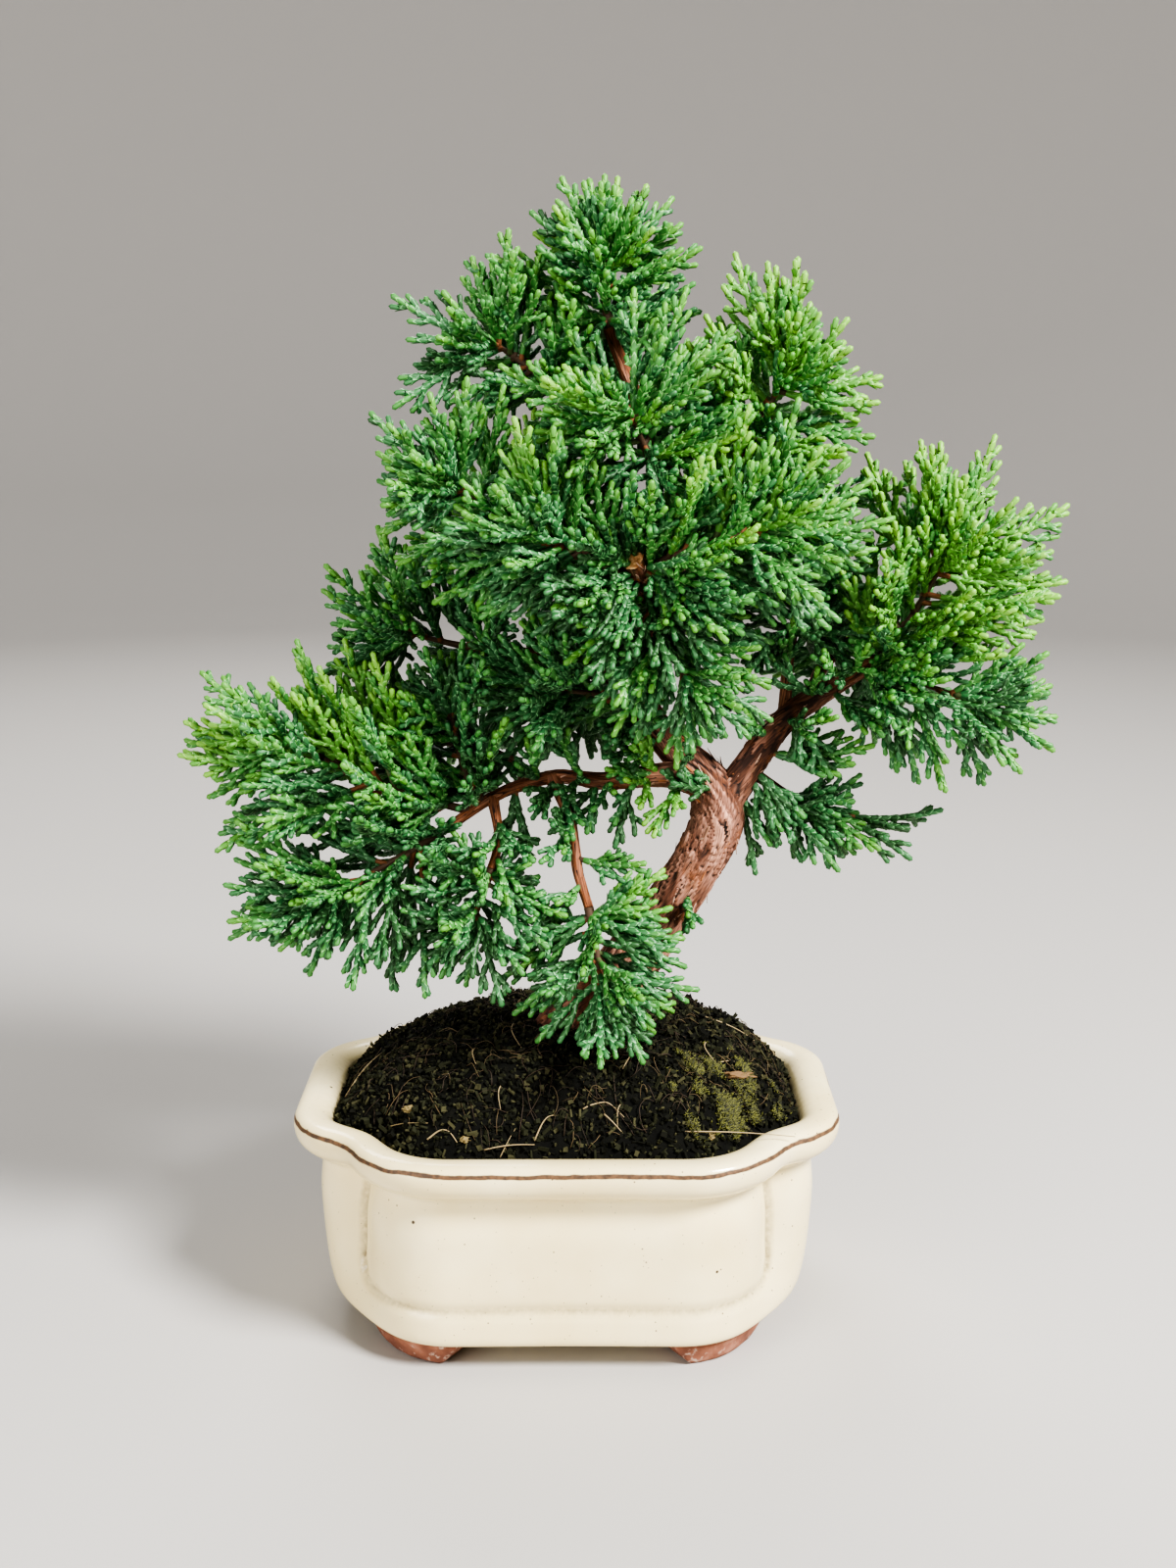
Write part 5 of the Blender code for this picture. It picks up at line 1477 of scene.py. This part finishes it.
def make_foliage(limbs, box, obstacles, looks):
    """Every mass as its stem and its plumes, spread out evenly."""
    for name, (carrier, along, middle, radii, count, _, fresh) in MASSES.items():
        rng = random.Random(f"{SEED} {name}")
        start = limbs[carrier].place(along)
        away = (start - limbs[carrier].place(along - 0.3)).normalized()
        stem = Limb((start, start.lerp(Vector(middle), 0.4) + away * 2, middle), STEM_RADII, STEM_STEPS)
        room = Room(name, box, *obstacles)
        growth, placed = Growth(), []
        last = len(stem.points) - 1
        growth.twigs.append((stem.points, [r * (1.15 - 0.3 * i / last) for i, r in enumerate(stem.radii)], 0))
        for tip in shoot_tips(name, rng):
            if len(placed) >= PLUMES_PER_SPRAY * count:
                break
            if any((tip - other).length < TIP_SPACING * sum(radii) / 3 for other in placed):
                continue
            root = root_on_stem(stem, tip, room)
            outwards = Vector((math.copysign(FACING[0], tip.x - CROWN_MIDDLE_X),
                               math.copysign(FACING[1], tip.y), FACING[2]))
            face = (outwards + random_vector(rng.uniform, -FACING_SPREAD, FACING_SPREAD)).normalized()
            end = free_end(root, tip, room)
            if end is not None:
                # Painted light: a shoot that ends higher in its mass gets a lighter green, as if lit from
                # above
                height = (end.z - middle[2]) / radii[2]
                green = fresh + 0.1 * height + rng.uniform(-0.2, 0.2)
                grow_plume(growth, root, end, face, room, green, rng)
                placed.append(tip)
        growth.place(name, looks, [name])


def make_sprigs(limbs, box, obstacles, looks):
    """The sprigs that leave the bare wood, two plumes each."""
    rng = random.Random(f"{SEED} sprigs")
    room = Room(None, box, *obstacles)
    growth = Growth()
    for carrier, along, tip, fresh in SPRIGS:
        limb, tip = limbs[carrier], Vector(tip)
        heart = limb.place(along)
        root = heart + (tip - heart).normalized() * 0.7 * at_span(limb.radii, along, limb.steps)
        for turn in (-1, 1):
            end = tip + random_vector(rng.gauss, 0, SPRIG_WANDER) + turn * Vector(SPRIG_SPREAD)
            facing = Vector(SPRIG_FACING) + random_vector(rng.uniform, -FACING_SPREAD, FACING_SPREAD)
            grow_plume(growth, root, end, facing.normalized(), room, fresh + 0.1 * turn, rng)
    growth.place("sprigs", looks)


def make_camera():
    """The photograph's viewing angle."""
    data = bpy.data.cameras.new("camera")
    data.lens = CAMERA_LENS
    data.sensor_width = SENSOR_WIDTH
    camera = put_in_scene("camera", data)
    camera.location = Vector(CAMERA_PLACE) * MM + POT_PLACE
    camera.rotation_euler = (CAMERA_TILT, 0, 0)
    bpy.context.scene.camera = camera


def make_stage():
    """A pale floor that curves up into a wall all round, open at the top."""
    bm = bmesh.new()
    profile = [Vector((0.001, 0, 0)), Vector((FLOOR_RADIUS, 0, 0))]
    for k in range(1, WALL_CURVE_STEPS + 1):
        turn = math.pi / 2 * k / WALL_CURVE_STEPS
        out, up = WALL_CURVE * math.sin(turn), WALL_CURVE * (1 - math.cos(turn))
        profile.append(Vector((FLOOR_RADIUS + out, 0, up)))
    profile.append(Vector((FLOOR_RADIUS + WALL_CURVE, 0, WALL_HEIGHT)))
    line = [bm.verts.new(point * MM) for point in profile]
    edges = [bm.edges.new(pair) for pair in zip(line, line[1:])]
    bmesh.ops.spin(bm, geom=line + edges, cent=(0, 0, 0), axis=(0, 0, 1), angle=math.tau, steps=STAGE_SIDES,
                   use_merge=True)
    bmesh.ops.remove_doubles(bm, verts=bm.verts, dist=0.00001)
    mesh = mesh_of(bm, "floor")
    mesh.materials.append(plain_finish("pale grey studio floor", "#b3afaa", 0.9))
    floor = put_in_scene("floor", mesh)


def make_lights():
    """Soft studio light: a key high at the front right, a fill from the left, one from behind, and a
    pale sky. The film is set to a high contrast."""
    for name, place, size, power in LIGHTS:
        data = bpy.data.lights.new(name, "AREA")
        data.shape = "DISK"
        data.size = size * MM
        data.energy = power
        light = put_in_scene(name, data)
        light.location = Vector(place) * MM
        aim = Vector(LIGHT_TARGET) * MM - light.location
        light.rotation_euler = aim.to_track_quat("-Z", "Y").to_euler()
    world = bpy.data.worlds.new("sky")
    world.use_nodes = True
    fill(world.node_tree.nodes["Background"], {"Color": srgb(SKY_COLOR), "Strength": SKY_STRENGTH})
    bpy.context.scene.world = world
    bpy.context.scene.view_settings.look = "AgX - High Contrast"


def main(box):
    make_camera()
    make_stage()
    make_lights()
    make_pot(glaze_finish())
    make_feet(clay_finish())
    ground = make_mound(peat_finish())
    make_crumbs(ground, shade_finishes(CRUMB_SHADES, "peat crumb", 0.9, **PEAT_SHEEN))
    make_fibres(ground, shade_finishes(FIBRE_SHADES, "root fibre", 0.7))
    make_moss(ground, shade_finishes(MOSS_SHADES, "moss", 0.7))
    scrap, chip = plain_finish("dry leaf scrap", "#7d6d45", 0.8), plain_finish("bark chip", "#735838", 0.8)
    make_litter(ground, scrap, chip)
    limbs = {"trunk": Limb(*zip(*TRUNK))}
    for name, (carrier, along, places, radii) in BOUGHS.items():
        limbs[name] = Limb((limbs[carrier].place(along), *places), radii)
    make_bark(limbs, bark_finish(), cut_finish())
    make_flakes(limbs, shade_finishes(FLAKE_SHADES, "loose bark", 0.85))
    obstacles = Room.of_limbs(limbs)
    looks = leaf_shapes(), leaf_finishes(), shade_finishes(TWIG_SHADES, "twig", 0.75)
    make_foliage(limbs, box, obstacles, looks)
    make_sprigs(limbs, box, obstacles, looks)


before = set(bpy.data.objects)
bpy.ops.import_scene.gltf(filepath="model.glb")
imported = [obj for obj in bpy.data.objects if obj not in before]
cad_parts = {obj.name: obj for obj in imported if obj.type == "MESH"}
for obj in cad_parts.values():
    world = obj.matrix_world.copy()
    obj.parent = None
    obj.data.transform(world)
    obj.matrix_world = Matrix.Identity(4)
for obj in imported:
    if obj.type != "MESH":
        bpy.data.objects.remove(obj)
cad_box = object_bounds()
low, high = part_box("pot")
POT_PLACE = Vector(((low.x + high.x) / 2, (low.y + high.y) / 2, 0))
TO_FRAME = Matrix.Translation(POT_PLACE) @ Matrix.Scale(MM, 4)
main([(corner - POT_PLACE) / MM for corner in cad_box])
